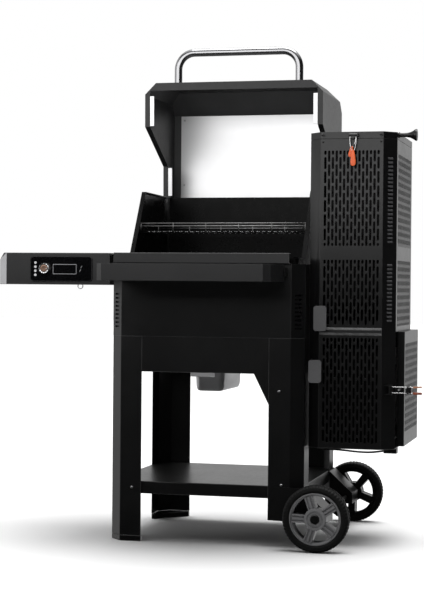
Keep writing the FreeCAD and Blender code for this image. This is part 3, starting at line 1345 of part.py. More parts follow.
make_stand()
make_bottom_shelf()
make_wheel_bracket()
make_axle()
make_wheel("front_wheel", wheel_front_y)
make_wheel("rear_wheel", wheel_back_y)
make_cabinet()
make_firebox()
make_manifold()
make_grates()
make_warming_rack()
make_grease_tray()
make_side_shelf()
make_controls()
make_tool_hook()
make_front_ledge()
make_front_shelf()
make_lid()
make_handle()
make_tower()
make_hopper()
hopper_hinges = make_hopper_lid()
door_hinges = make_ash_door()
node(group(*hopper_hinges, *door_hinges, *latch_mounts()), "tower_hardware")
make_shutter("upper_shutter", upper_tab_left, upper_tab_low, upper_tab_high)
make_shutter("lower_shutter", lower_tab_left, lower_tab_low, lower_tab_high)
make_blower()
make_cable()
make_screws()
doc.recompute()

for thing in doc.Objects:
    if "Invalid" in thing.State or "Error" in thing.State:
        raise RuntimeError("%s (%s) failed: %s" % (thing.Name, thing.Label, thing.State))
for thing in NODES:
    if thing.Shape.isNull() or not thing.Shape.isValid() or not thing.Shape.Solids:
        raise RuntimeError("%s has no valid solid" % thing.Label)
if len({thing.Label for thing in NODES}) != len(NODES):
    raise RuntimeError("two sub-parts share a name")

os.makedirs("parts", exist_ok=True)
for thing in NODES:
    thing.Shape.exportStep(os.path.join("parts", thing.Label + ".step"))
print("%d nodes written" % len(NODES))
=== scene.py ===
"""Looks of the gravity-fed charcoal grill and smoker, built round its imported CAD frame.

Units are metres, apart from the lists that a comment gives in millimetres.
+Z is up and -Y is the front, where the cook stands.
"""
import json
import math

import bmesh
import bpy
from mathutils import Matrix, Vector

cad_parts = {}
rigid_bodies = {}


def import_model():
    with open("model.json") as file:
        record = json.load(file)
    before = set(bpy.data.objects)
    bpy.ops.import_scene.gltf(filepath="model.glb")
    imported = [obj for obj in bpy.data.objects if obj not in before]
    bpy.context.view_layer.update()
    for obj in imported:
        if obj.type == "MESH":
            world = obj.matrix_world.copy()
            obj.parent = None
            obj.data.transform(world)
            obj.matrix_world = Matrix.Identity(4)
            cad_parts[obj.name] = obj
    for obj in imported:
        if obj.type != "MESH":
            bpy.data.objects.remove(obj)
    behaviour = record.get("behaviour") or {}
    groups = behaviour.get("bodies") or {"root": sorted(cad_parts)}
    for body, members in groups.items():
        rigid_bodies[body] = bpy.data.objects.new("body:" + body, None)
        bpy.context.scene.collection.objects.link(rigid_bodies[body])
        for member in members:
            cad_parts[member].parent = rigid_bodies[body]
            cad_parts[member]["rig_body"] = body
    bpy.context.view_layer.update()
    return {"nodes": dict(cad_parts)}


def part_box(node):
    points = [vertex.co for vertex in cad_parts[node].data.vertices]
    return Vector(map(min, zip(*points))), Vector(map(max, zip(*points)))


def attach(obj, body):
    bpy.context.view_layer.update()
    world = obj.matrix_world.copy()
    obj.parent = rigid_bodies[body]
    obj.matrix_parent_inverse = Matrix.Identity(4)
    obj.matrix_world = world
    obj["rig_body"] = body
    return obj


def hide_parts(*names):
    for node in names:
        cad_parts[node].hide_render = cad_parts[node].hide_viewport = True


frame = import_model()
NODES = frame["nodes"]
MM = 0.001
ORIGIN = (0, 0, 0)

# ------------------------------------------------------------------- camera
CAMERA_PLACE = (1.2553, -5.1148, 0.7885)
CAMERA_YAW = 14.07
CAMERA_PITCH = 0.495
CAMERA_ROLL = 0.483
CAMERA_LENS = 99.3
CAMERA_SENSOR = 36
CAMERA_RANGE = 60


def add_object(name, data):
    """Object in the scene that holds a data block."""
    made = bpy.data.objects.new(name, data)
    bpy.context.scene.collection.objects.link(made)
    return made


def make_camera():
    """Long lens in front of the grill and to its right."""
    yaw, pitch, roll = (math.radians(a) for a in (CAMERA_YAW, CAMERA_PITCH, CAMERA_ROLL))
    ahead = Vector((-math.sin(yaw) * math.cos(pitch), math.cos(yaw) * math.cos(pitch), -math.sin(pitch)))
    right = Vector((math.cos(yaw), math.sin(yaw), 0))
    up = right.cross(ahead)
    right_rolled = right * math.cos(roll) + up * math.sin(roll)
    up_rolled = up * math.cos(roll) - right * math.sin(roll)
    turn = Matrix((right_rolled, up_rolled, -ahead)).transposed()
    camera = add_object("camera", bpy.data.cameras.new("camera"))
    camera.data.lens = CAMERA_LENS
    camera.data.sensor_width = CAMERA_SENSOR
    camera.data.clip_end = CAMERA_RANGE
    camera.matrix_world = Matrix.Translation(CAMERA_PLACE) @ turn.to_4x4()
    bpy.context.scene.camera = camera


# ---------------------------------------------------------------- node trees
class Tree:
    """Short calls for building a node tree."""

    def __init__(self, tree):
        self.tree = tree
        tree.nodes.clear()

    def node(self, kind, inputs=None, **settings):
        """New node; each input, by number or name, is linked to a socket or set to a value."""
        made = self.tree.nodes.new(kind)
        for name, value in settings.items():
            setattr(made, name, value)
        for key, value in (inputs or {}).items():
            if isinstance(value, bpy.types.NodeSocket):
                self.tree.links.new(value, made.inputs[key])
            else:
                made.inputs[key].default_value = value
        return made

    def math(self, operation, first, second):
        return self.node("ShaderNodeMath", {0: first, 1: second}, operation=operation).outputs[0]

    def ramp(self, value, low, high, out_low=0.0, out_high=1.0):
        """Smooth step from out_low to out_high as the value goes from low to high."""
        given = dict(enumerate((value, low, high, out_low, out_high)))
        return self.node("ShaderNodeMapRange", given, interpolation_type="SMOOTHSTEP").outputs[0]

    def mix(self, share, first, second):
        """Blend of two colours; sockets 6 and 7 are the colour inputs."""
        return self.node("ShaderNodeMix", {0: share, 6: first, 7: second}, data_type="RGBA").outputs[2]

    def noise(self, vector, scale, detail, rough):
        given = {"Vector": vector, "Scale": scale, "Detail": detail, "Roughness": rough}
        return self.node("ShaderNodeTexNoise", given).outputs["Fac"]

    def surface(self, kind, shader):
        """Send a shader to the material's or the world's output."""
        self.node(kind, {"Surface": shader.outputs[0]})


def grey(value):
    return (value, value, value, 1.0)


# ------------------------------------------------------------ light and floor
STUDIO_DARK = 0.02
# each round panel's direction, full and faded radius in degrees, and strength
STUDIO_PANELS = [
    ((0.0, 1.0, 0.05), 26, 44, 1.0),
    ((-1.0, 0.1, 0.1), 26, 44, 0.85),
    ((0.0, 0.1, 1.0), 30, 60, 1.0),
]
PANEL_LEFT, PANEL_RIGHT = -2.5, 0.75
PANEL_LOW, PANEL_HIGH = 1.0, 2.4
PANEL_Y = -1.55
PANEL_RADIANCE = 1.9
SUN_STRENGTH = 3.1
SUN_SPREAD = 50
SUN_TURN = (-6, 4, 0)
FLOOR_REACH = 30.0
FLOOR_WHITE = 0.93


def make_world():
    """Dark studio with soft white panels behind, on the left and overhead."""
    world = bpy.data.worlds.new("studio")
    bpy.context.scene.world = world
    world.use_nodes = True
    t = Tree(world.node_tree)
    direction = t.node("ShaderNodeTexCoord").outputs["Generated"]

    def panel(towards, inner, outer, strength):
        """Round soft panel: full within inner degrees of its middle, gone by outer."""
        given = {0: direction, 1: Vector(towards).normalized()}
        facing = t.node("ShaderNodeVectorMath", given, operation="DOT_PRODUCT")
        edge, full = (math.cos(math.radians(angle)) for angle in (outer, inner))
        return t.ramp(facing.outputs["Value"], edge, full, 0.0, strength)
    glow = STUDIO_DARK
    for settings in STUDIO_PANELS:
        glow = t.math("MAXIMUM", glow, panel(*settings))
    lit = t.node("ShaderNodeBackground", {"Strength": glow}).outputs[0]
    plain = t.node("ShaderNodeBackground", {"Color": grey(1.0)}).outputs[0]
    seen = t.node("ShaderNodeLightPath").outputs["Is Camera Ray"]
    t.surface("ShaderNodeOutputWorld", t.node("ShaderNodeMixShader", {0: seen, 1: lit, 2: plain}))
    view = bpy.context.scene.view_settings
    view.view_transform = "Standard"
    view.look = "None"


def make_front_panel(floor):
    """Soft box in front of the grill, which lights it but not the floor."""
    width, height = PANEL_RIGHT - PANEL_LEFT, PANEL_HIGH - PANEL_LOW
    light = add_object("front_panel", bpy.data.lights.new("front_panel", "AREA"))
    light.data.shape = "RECTANGLE"
    light.data.size = width
    light.data.size_y = height
    light.data.energy = math.pi * width * height * PANEL_RADIANCE
    light.location = ((PANEL_LEFT + PANEL_RIGHT) / 2, PANEL_Y, (PANEL_LOW + PANEL_HIGH) / 2)
    light.rotation_euler = (math.radians(90), 0, 0)
    light.visible_camera = False
    spared = bpy.data.collections.new("spared_from_front_light")
    spared.objects.link(floor)
    light.light_linking.receiver_collection = spared
    spared.collection_objects[0].light_linking.link_state = "EXCLUDE"


def make_sky_light():
    """Broad overhead light that whitens the floor and leaves soft shadows."""
    light = add_object("overhead", bpy.data.lights.new("overhead", "SUN"))
    light.data.energy = SUN_STRENGTH
    light.data.angle = math.radians(SUN_SPREAD)
    light.rotation_euler = [math.radians(angle) for angle in SUN_TURN]


def make_floor():
    mesh = bpy.data.meshes.new("floor")
    corners = [(u * FLOOR_REACH, v * FLOOR_REACH, 0) for u, v in ((-1, -1), (1, -1), (1, 1), (-1, 1))]
    mesh.from_pydata(corners, [], [(0, 1, 2, 3)])
    floor = add_object("floor", mesh)
    material = bpy.data.materials.new("pale_floor")
    material.use_nodes = True
    t = Tree(material.node_tree)
    given = {"Base Color": grey(FLOOR_WHITE), "Roughness": 0.9, "Specular IOR Level": 0.1}
    t.surface("ShaderNodeOutputMaterial", t.node("ShaderNodeBsdfPrincipled", given))
    mesh.materials.append(material)
    floor.visible_glossy = False
    return floor


# ----------------------------------------------------------------- materials
# the marked bevel faces go lighter, towards bare-metal grey: partly wear of the coat, partly a painted
# highlight of light catching the folds
RUB_AND_HIGHLIGHT_EDGE = "rub_and_highlight_edge"
BARE_METAL_AND_HIGHLIGHT = grey(0.16)
SMUDGE_SCALE = 0.06
RELIEF_DEPTH = 0.4 * MM
SMOOTHEST = 0.02
LOOK = {}


def finish(name, colour, rough, metal=0.0, tint=None, patch=6.0, grain=900.0, bump=0.12,
           stretch=(1, 1, 1), spread=0.08, wear=0.0, specular=0.5, anisotropic=0.0):
    """Surface with uneven colour and roughness, a fine grain, and outer edges that go lighter as wear and as
    a painted highlight.

    patch and grain are noise scales per metre, stretch makes the grain run
    one way, and the edge wear setting is how far the outer edges go towards bare-metal grey, which paints
    their highlight as well as their wear.
    """
    material = bpy.data.materials.new(name)
    material.use_nodes = True
    t = Tree(material.node_tree)
    place = t.node("ShaderNodeTexCoord").outputs["Object"]
    stretched = t.node("ShaderNodeMapping", {"Vector": place, "Scale": stretch}).outputs[0]
    broad = t.noise(place, patch, 4.0, 0.6)
    fine = t.noise(stretched, grain, 2.0, 0.55)
    smudge = t.noise(stretched, grain * SMUDGE_SCALE, 5.0, 0.65)
    tint = tint or tuple(min(1.0, c * 1.25 + 0.0005) for c in colour)
    shade = t.mix(t.ramp(broad, 0.25, 0.75), (*colour, 1.0), (*tint, 1.0))
    # narrow bevel faces turn lighter: wear, and a painted highlight on the edges
    if wear:
        edge = t.node("ShaderNodeAttribute", attribute_name=RUB_AND_HIGHLIGHT_EDGE).outputs["Fac"]
        rubbed_and_lit = t.math("MULTIPLY", edge, t.ramp(smudge, 0.30, 0.70, 0.4, 1.0))
        shade = t.mix(t.math("MULTIPLY", rubbed_and_lit, wear), shade, BARE_METAL_AND_HIGHLIGHT)
    uneven = t.math("ADD", t.math("MULTIPLY", smudge, 0.6), t.math("MULTIPLY", broad, 0.4))
    roughness = t.ramp(uneven, 0.2, 0.8, max(rough - spread, SMOOTHEST), rough + spread)
    relief = t.node("ShaderNodeBump", {"Strength": bump, "Distance": RELIEF_DEPTH, "Height": fine})
    t.surface("ShaderNodeOutputMaterial", t.node("ShaderNodeBsdfPrincipled", {
        "Base Color": shade, "Roughness": roughness, "Metallic": metal, "Specular IOR Level": specular,
        "Anisotropic": anisotropic, "Normal": relief.outputs[0],
    }))
    return material


def add_look(name, colour, rough, slot=None, **settings):
    """Make a material. The slot, the record's slot that it belongs to, is not used."""
    LOOK[name] = finish(name, colour, rough, **settings)


def make_coats():
    """Painted sheet metal."""
    coat = {"bump": 0.10, "grain": 1100}
    add_look("powder_coat", (0.0030, 0.0030, 0.0032), 0.31, wear=0.5, spread=0.04, **coat)
    add_look("lid_coat", (0.0055, 0.0055, 0.0057), 0.40, "powder_coat", wear=0.5, spread=0.05, **coat)
    # the lid's inner faces get a paler coat: painted light, for the light the stainless liner throws onto
    # them
    add_look("lid_inside_painted_light", (0.046, 0.046, 0.047), 0.48, "powder_coat", tint=(0.060, 0.060, 0.061), patch=9,
             bump=0.15, grain=700)
    add_look("stand_coat", (0.0030, 0.0030, 0.0032), 0.33, "powder_coat", wear=0.5, spread=0.04, **coat)
    add_look("satin_grey", (0.008, 0.008, 0.0085), 0.41, "powder_coat", wear=0.6, spread=0.04, **coat)
    # paler grey on the louvre hoods, which are the casing's own sheet: painted highlight of the light they
    # catch
    add_look("louvre_highlight_grey", (0.036, 0.036, 0.038), 0.42, "powder_coat", **coat)
    # light grey over the side shelf's outer end: painted highlight of the light that end reflects
    add_look("shelf_end_highlight_grey", (0.30, 0.30, 0.31), 0.40, "wheel_grey", tint=(0.34, 0.34, 0.35), grain=1100)
    add_look("dark_enamel", (0.0016, 0.0016, 0.0016), 0.30, patch=11, bump=0.25, grain=500, spread=0.12,
             specular=0.10)


def make_metals():
    """Bare and plated metal."""
    add_look("stainless", (0.70, 0.70, 0.705), 0.34, metal=1.0, tint=(0.79, 0.79, 0.795), patch=3, grain=420,
             stretch=(0.03, 1, 1), bump=0.03, spread=0.03, anisotropic=0.4)
    add_look("chrome", (0.72, 0.72, 0.73), 0.10, metal=1.0, tint=(0.80, 0.80, 0.81), bump=0.02, spread=0.04)
    add_look("handle_steel", (0.40, 0.40, 0.41), 0.20, "chrome", metal=1.0, tint=(0.47, 0.47, 0.48),
             bump=0.04, spread=0.03, grain=500, stretch=(0.05, 1, 1))
    add_look("rack_wire", (0.26, 0.26, 0.26), 0.30, "chrome", metal=1.0, tint=(0.24, 0.235, 0.23), bump=0.1)
    add_look("latch_wire", (0.62, 0.62, 0.62), 0.20, metal=1.0, bump=0.05)
    add_look("zinc", (0.50, 0.50, 0.51), 0.34, "latch_wire", metal=1.0, bump=0.15, grain=700)
    add_look("cast_iron", (0.004, 0.004, 0.0036), 0.62, bump=0.8, grain=600, patch=20, specular=0.3)
    add_look("aluminium", (0.52, 0.52, 0.53), 0.40, metal=0.8, tint=(0.60, 0.60, 0.61), bump=0.10, grain=300,
             stretch=(1, 0.08, 1))
    add_look("dial_metal", (0.24, 0.15, 0.11), 0.34, metal=0.9, bump=0.25)


def make_plastics():
    """Moulded plastic, rubber and printed marks."""
    add_look("tyre", (0.003, 0.003, 0.003), 0.55, tint=(0.005, 0.005, 0.0048), bump=0.5, grain=700,
             specular=0.25)
    add_look("wheel_grey", (0.105, 0.105, 0.108), 0.50, bump=0.2, grain=1300, wear=0.3, spread=0.05)
    add_look("tab_grey", (0.050, 0.050, 0.052), 0.5, bump=0.3, grain=1200)
    add_look("black_plastic", (0.003, 0.003, 0.003), 0.30, bump=0.2, grain=1500)
    add_look("gloss_panel", (0.0015, 0.0015, 0.0018), 0.08, bump=0.02, spread=0.03)
    add_look("button_white", (0.42, 0.42, 0.43), 0.42, bump=0.1)
    add_look("print_grey", (0.22, 0.22, 0.23), 0.5, "gloss_panel", bump=0.05)
    # dim grey line round the fascia's edge: painted highlight of its rounded bezel
    add_look("bezel_highlight_grey", (0.030, 0.030, 0.031), 0.45, "gloss_panel", bump=0.05)
    sleeve = {"slot": "latch_wire", "bump": 0.3, "grain": 1400}
    add_look("sleeve_orange", (0.60, 0.085, 0.016), 0.42, tint=(0.68, 0.12, 0.025), **sleeve)
    add_look("sleeve_dark", (0.16, 0.030, 0.010), 0.45, tint=(0.22, 0.045, 0.014), **sleeve)
    add_look("sleeve_tan", (0.30, 0.12, 0.055), 0.45, tint=(0.36, 0.15, 0.07), **sleeve)


# ---------------------------------------------------------------- mesh helpers
FOLD_RADIUS = 2.4 * MM
FOLD_ANGLE = math.radians(20)
FLAT_ANGLE = math.radians(0.5)
SHEET_EDGE = 0.3
RUB_AND_HIGHLIGHT_WIDTH = 0.55
WELD = 1e-5
FINE_WELD = 1e-6
TINY = 1e-9
WIRE_ORDER = 3


def body_of(node_name):
    return NODES[node_name]["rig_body"]


def middle_of(node_name):
    low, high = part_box(node_name)
    return (low + high) / 2


def moved(point, x=0.0, y=0.0, z=0.0):
    """Point some millimetres away from another."""
    return Vector(point) + Vector((x, y, z)) * MM


def profile_mm(points, start=0.0):
    """Profile in metres from (along, radius) points in millimetres past a start."""
    return [(start + along * MM, radius * MM) for along, radius in points]


def add_piece(name, mesh, body, look, stands_for=(), smooth=30):
    """Put a mesh in the scene as a piece that rides on a body."""
    mesh.name = name
    mesh.materials.clear()
    mesh.materials.append(LOOK[look])
    if smooth:
        mesh.shade_smooth()
        mesh.set_sharp_from_angle(angle=math.radians(smooth))
    piece = add_object(name, mesh)
    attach(piece, body)
    if stands_for:
        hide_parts(*stands_for)
    return piece


def settled(mesh_or_curve, kind=None, **settings):
    """Mesh of a data block, once a modifier of the given kind is applied."""
    holder = add_object("holder", mesh_or_curve)
    if kind:
        modifier = holder.modifiers.new(kind.lower(), kind)
        for name, value in settings.items():
            setattr(modifier, name, value)
    graph = bpy.context.evaluated_depsgraph_get()
    graph.update()
    mesh = bpy.data.meshes.new_from_object(holder.evaluated_get(graph))
    bpy.data.objects.remove(holder)
    return mesh


def bevelled(mesh, width, angle=30):
    return settled(mesh, "BEVEL", limit_method="ANGLE", angle_limit=math.radians(angle), width=width,
                   segments=3)


def carved(mesh, cutter):
    """Mesh with a cutter's solid taken out of it."""
    tool = add_object("cutter", cutter)
    mesh = settled(mesh, "BOOLEAN", object=tool, operation="DIFFERENCE", solver="EXACT")
    bpy.data.objects.remove(tool)
    return mesh


def mesh_of(work):
    """Finish a bmesh as a mesh with its faces turned outwards."""
    bmesh.ops.recalc_face_normals(work, faces=work.faces)
    mesh = bpy.data.meshes.new("made")
    work.to_mesh(mesh)
    work.free()
    return mesh


def merged(*meshes):
    """One mesh out of several."""
    work = bmesh.new()
    for mesh in meshes:
        work.from_mesh(mesh)
    mesh = bpy.data.meshes.new("merged")
    work.to_mesh(mesh)
    work.free()
    return mesh


def breadth(face):
    """Rough width of a face across its narrow way."""
    return 2 * face.calc_area() / max(face.calc_perimeter(), TINY)


def soft_mesh(node_name, radius):
    """Copy of a CAD node's mesh with its folds and sheet edges rounded."""
    work = bmesh.new()
    work.from_mesh(NODES[node_name].data)
    bmesh.ops.remove_doubles(work, verts=work.verts, dist=WELD)
    bmesh.ops.dissolve_limit(work, angle_limit=FLAT_ANGLE, verts=work.verts, edges=work.edges)
    weights = work.edges.layers.float.new("bevel_weight_edge")
    for edge in work.edges:
        if len(edge.link_faces) == 2 and edge.calc_face_angle() > FOLD_ANGLE:
            narrow = min(breadth(face) for face in edge.link_faces)
            edge[weights] = 1.0 if narrow > 2 * FOLD_RADIUS else SHEET_EDGE
    mesh = bpy.data.meshes.new(node_name)
    work.to_mesh(mesh)
    work.free()
    mesh = settled(mesh, "BEVEL", limit_method="WEIGHT", width=radius, segments=2, harden_normals=True,
                   use_clamp_overlap=True)
    return mark_edges(mesh, radius)


def mark_edges(mesh, radius):
    """Mark the narrow faces that a bevel made, where the coat wears and where an edge highlight is painted.
    """
    marks = mesh.attributes.new(RUB_AND_HIGHLIGHT_EDGE, "FLOAT", "FACE")
    for polygon in mesh.polygons:
        points = [mesh.vertices[k].co for k in polygon.vertices]
        around = sum((a - b).length for a, b in zip(points, points[1:] + points[:1]))
        narrow = 2 * polygon.area / max(around, TINY) < radius * RUB_AND_HIGHLIGHT_WIDTH
        marks.data[polygon.index].value = 1.0 if narrow else 0.0
    return mesh


def soften(node_name, look, radius=FOLD_RADIUS, cutter=None):
    """Stand a softened copy in for a folded sheet part."""
    mesh = soft_mesh(node_name, radius)
    if cutter is not None:
        mesh = carved(mesh, cutter)
    return add_piece(node_name + "_formed", mesh, body_of(node_name), look, [node_name], smooth=0)


def add_box(work, low, high, turn=None):
    """Box between two corners, or round a turned frame's origin."""
    made = bmesh.ops.create_cube(work, size=1.0)
    size = Matrix.Diagonal((*[b - a for a, b in zip(low, high)], 1.0))
    middle = Matrix.Translation([(a + b) / 2 for a, b in zip(low, high)])
    bmesh.ops.transform(work, matrix=(turn or Matrix()) @ middle @ size, verts=made["verts"])


def soft_box(low, high, edge):
    """Box between two corners with rounded edges."""
    work = bmesh.new()
    add_box(work, low, high)
    return bevelled(mesh_of(work), edge)


def add_prism(work, near, far):
    """Closed prism between two outlines of equally many points."""
    near = [work.verts.new(point) for point in near]
    far = [work.verts.new(point) for point in far]
    work.faces.new(near)
    work.faces.new(list(reversed(far)))
    for k in range(len(near)):
        follow = (k + 1) % len(near)
        work.faces.new((near[k], far[k], far[follow], near[follow]))


def extrude_outline(points, low, high, place):
    """Prism of a flat outline; place(u, v, w) gives a point of the row frame."""
    work = bmesh.new()
    add_prism(work, [place(u, v, low) for u, v in points], [place(u, v, high) for u, v in points])
    return mesh_of(work)


def loft(rings):
    """Closed skin through rings of equally many points, capped at both ends."""
    work = bmesh.new()
    laid = [[work.verts.new(point) for point in ring] for ring in rings]
    for near, far in zip(laid, laid[1:]):
        for k in range(len(near)):
            follow = (k + 1) % len(near)
            work.faces.new((near[k], near[follow], far[follow], far[k]))
    work.faces.new(laid[0])
    work.faces.new(laid[-1])
    return mesh_of(work)


def lathe(profile, steps, centre, axis="Y", reshape=None):
    """Closed ring profile of (along, radius) points swept round an axis.

    reshape(step, along, radius) may move a point of the sweep.
    """
    work = bmesh.new()
    rings = []
    for step in range(steps):
        angle = 2 * math.pi * step / steps
        ring = []
        for along, radius in profile:
            if reshape:
                along, radius = reshape(step, along, radius)
            u, v = radius * math.cos(angle), radius * math.sin(angle)
            point = {"X": (along, u, v), "Y": (u, along, v), "Z": (u, v, along)}[axis]
            ring.append(work.verts.new(Vector(point) + Vector(centre)))
        rings.append(ring)
    for step in range(steps):
        here, there = rings[step], rings[(step + 1) % steps]
        for k in range(len(profile)):
            follow = (k + 1) % len(profile)
            work.faces.new((here[k], here[follow], there[follow], there[k]))
    bmesh.ops.remove_doubles(work, verts=work.verts, dist=FINE_WELD)
    return mesh_of(work)


def tube_between(start, end, radius, steps=20, dome=0.0):
    """Round rod with softened ends between two points."""
    start, end = Vector(start), Vector(end)
    run = end - start
    length = run.length
    lip = min(radius * 0.3, length * 0.2)
    profile = [(0, 0), (0, radius - lip), (lip, radius), (length - lip, radius), (length, radius - lip),
               (length + dome, 0)]
    mesh = lathe(profile, steps, ORIGIN, "Z")
    turn = run.to_track_quat("Z", "Y").to_matrix().to_4x4()
    mesh.transform(Matrix.Translation(start) @ turn)
    return mesh


def wire_mesh(points, radius, steps=3, resolution=6):
    """Round wire along a smooth line through control points."""
    curve = bpy.data.curves.new("wire", "CURVE")
    curve.dimensions = "3D"
    curve.bevel_depth = radius
    curve.bevel_resolution = steps
    curve.resolution_u = resolution
    curve.use_fill_caps = True
    spline = curve.splines.new("NURBS")
    spline.points.add(len(points) - 1)
    for point, place in zip(spline.points, points):
        point.co = (*place, 1.0)
    spline.order_u = WIRE_ORDER
    spline.use_endpoint_u = True
    return settled(curve)


def rounded_outline(left, right, low, high, radius, arc=6):
    points = []
    corners = [(right - radius, high - radius, 0), (left + radius, high - radius, 90),
               (left + radius, low + radius, 180), (right - radius, low + radius, 270)]
    for u, v, start in corners:
        for k in range(arc + 1):
            angle = math.radians(start + 90 * k / arc)
            points.append((u + radius * math.cos(angle), v + radius * math.sin(angle)))
    return points


def circle_outline(u, v, radius, steps=32):
    angles = [2 * math.pi * k / steps for k in range(steps)]
    return [(u + radius * math.cos(angle), v + radius * math.sin(angle)) for angle in angles]


# ----------------------------------------------------------- perforated panels
SLOT_WIDTH = 6.8 * MM
SLOT_LENGTH = 36.0 * MM
SLOT_PITCH = 43.0 * MM
COLUMN_PITCH = 11.5 * MM
SHORTEST_SLOT = 8.5 * MM
LONG_START = 34.0 * MM
SLOT_ARC = 5
PLATE_EDGE = 0.35 * MM
PLAIN_BAND = (870 * MM, 911 * MM)
FRONT_MARGIN = 14.2 * MM
SIDE_MARGIN = 2 * FRONT_MARGIN
DOOR_MARGINS = (92 * MM, 30 * MM, 42 * MM, 36 * MM)
DOOR_CUT = 4 * MM
FACING_FRONT = Matrix(((1, 0, 0, 0), (0, 0, -1, 0), (0, 1, 0, 0), (0, 0, 0, 1)))
FACING_RIGHT = Matrix(((0, 0, 1, 0), (1, 0, 0, 0), (0, 1, 0, 0), (0, 0, 0, 1)))


def obround(u, low, high):
    """Outline of an upright slot with round ends."""
    r = SLOT_WIDTH / 2
    points = []
    for start, v in ((0, high - r), (1, low + r)):
        for k in range(SLOT_ARC + 1):
            angle = math.pi * (start + k / SLOT_ARC)
            points.append((u + r * math.cos(angle), v + r * math.sin(angle)))
    return points


def slot_field(left, right, low, high):
    """Staggered columns of slots that fill a rectangle."""
    count = round((right - left) / COLUMN_PITCH) + 1
    slots = []
    for column in range(count):
        u = (left + right) / 2 + (column - (count - 1) / 2) * COLUMN_PITCH
        start = high - (LONG_START if column % 2 else LONG_START - SLOT_PITCH / 2)
        while start + SLOT_LENGTH > low:
            slot_low = max(start, low)
            slot_high = min(start + SLOT_LENGTH, high)
            if slot_high - slot_low > SHORTEST_SLOT:
                slots.append(obround(u, slot_low, slot_high))
            start -= SLOT_PITCH
    return slots


def pierced_plate(outline, holes, thickness, turn):
    """Plate with holes through it and slightly rounded edges.

    turn takes the plate's flat frame, with its middle plane at zero, to the row frame.
    """
    curve = bpy.data.curves.new("plate", "CURVE")
    curve.dimensions = "2D"
    curve.fill_mode = "BOTH"
    curve.bevel_depth = PLATE_EDGE
    curve.bevel_resolution = 1
    curve.offset = -PLATE_EDGE
    curve.extrude = thickness / 2 - PLATE_EDGE
    for ring in [outline] + holes:
        spline = curve.splines.new("POLY")
        spline.points.add(len(ring) - 1)
        for point, (u, v) in zip(spline.points, ring):
            point.co = (u, v, 0, 1)
        spline.use_cyclic_u = True
    mesh = settled(curve)
    mesh.transform(turn)
    return mesh


def front_plate(outline, holes, face, thickness):
    """Pierced plate in front of a plane that faces the front."""
    place = Matrix.Translation((0, face - thickness / 2, 0)) @ FACING_FRONT
    return pierced_plate(outline, holes, thickness, place)


def make_panel(node_name, name, look, margin, below, above, on_side=False):
    """Perforated sheet in place of a plain one, with plain edges and a plain band."""
    low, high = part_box(node_name)
    middle = (low + high) / 2
    if on_side:
        left, right, thickness = low.y, high.y, high.x - low.x
        place = Matrix.Translation((middle.x, 0, 0)) @ FACING_RIGHT
    else:
        left, right, thickness = low.x, high.x, high.y - low.y
        place = Matrix.Translation((0, middle.y, 0)) @ FACING_FRONT
    bottom, top = low.z + below * MM, high.z - above * MM
    spans = [(bottom, top)]
    if bottom < PLAIN_BAND[0] < top:
        spans = [(PLAIN_BAND[1], top), (bottom, PLAIN_BAND[0])]
    holes = []
    for start, end in spans:
        holes += slot_field(left + margin, right - margin, start, end)
    outline = [(left, low.z), (right, low.z), (right, high.z), (left, high.z)]
    add_piece(name, pierced_plate(outline, holes, thickness, place), body_of(node_name), look, [node_name])


def make_perforated_panels():
    make_panel("front_upper_panel", "front_upper_mesh_panel", "powder_coat", FRONT_MARGIN, 8, 35)
    make_panel("front_lower_panel", "front_lower_mesh_panel", "stand_coat", FRONT_MARGIN, 15, 8)
    make_panel("tower_side_panel", "tower_side_mesh_panel", "powder_coat", SIDE_MARGIN, 15, 42, on_side=True)


def door_slots():
    """Cutter for the slots in the ash door's face."""
    low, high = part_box("ash_door")
    front, back, below, above = DOOR_MARGINS
    work = bmesh.new()
    for ring in slot_field(low.y + front, high.y - back, low.z + below, high.z - above):
        near, far = ([(high.x + side, u, v) for u, v in ring] for side in (-DOOR_CUT, DOOR_CUT))
        add_prism(work, near, far)
    return mesh_of(work)


# --------------------------------------------------------------- louvred bevels
CABINET_BEVEL = 37.0 * MM
CABINET_SLOT = (25.0 * MM, 5.5 * MM)
CABINET_SLOT_HEIGHTS = [(658 + 12.5 * k) * MM for k in range(9)]
CABINET_CUT = 6 * MM
LOUVRE_HEIGHTS = [(921 + 11.9 * k) * MM for k in range(22)] + [(685 + 11.9 * k) * MM for k in range(15)]
LOUVRE_WIDTH = 18 * MM
LOUVRE_RISE = 5.8 * MM
LOUVRE_PROUD = 2.4 * MM
LOUVRE_ARC = 4


def bevel_frame(x, y, across):
    """Frame on a vertical bevel: x runs along it, y into it, z up."""
    out = Vector((*across, 0)).normalized()
    along = Vector((-out.y, out.x, 0))
    turn = Matrix((along, -out, Vector((0, 0, 1)))).transposed().to_4x4()
    return Matrix.Translation((x, y, 0)) @ turn


def make_louvres():
    """Pressed louvres in the tower's front right bevel: hoods that are open underneath, coated paler as a
    painted highlight.
    """
    low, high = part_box("tower_casing")
    corner = bevel_frame(high.x - CABINET_BEVEL / 2, low.y + CABINET_BEVEL / 2, (1, -1))
    work = bmesh.new()
    for z in LOUVRE_HEIGHTS:
        hood = []
        for k in range(LOUVRE_ARC + 1):
            angle = math.pi / 2 * k / LOUVRE_ARC
            hood.append((-LOUVRE_PROUD * math.sin(angle) - 0.05 * MM, z + LOUVRE_RISE * math.cos(angle)))
        loop = hood + [(out + 0.7 * MM, rise - 0.5 * MM) for out, rise in reversed(hood)]
        near, far = ([corner @ Vector((side * LOUVRE_WIDTH / 2, out, rise)) for out, rise in loop]
                     for side in (-1, 1))
        add_prism(work, near, far)
    add_piece("tower_louvres", mesh_of(work), body_of("tower_casing"), "louvre_highlight_grey", smooth=40)


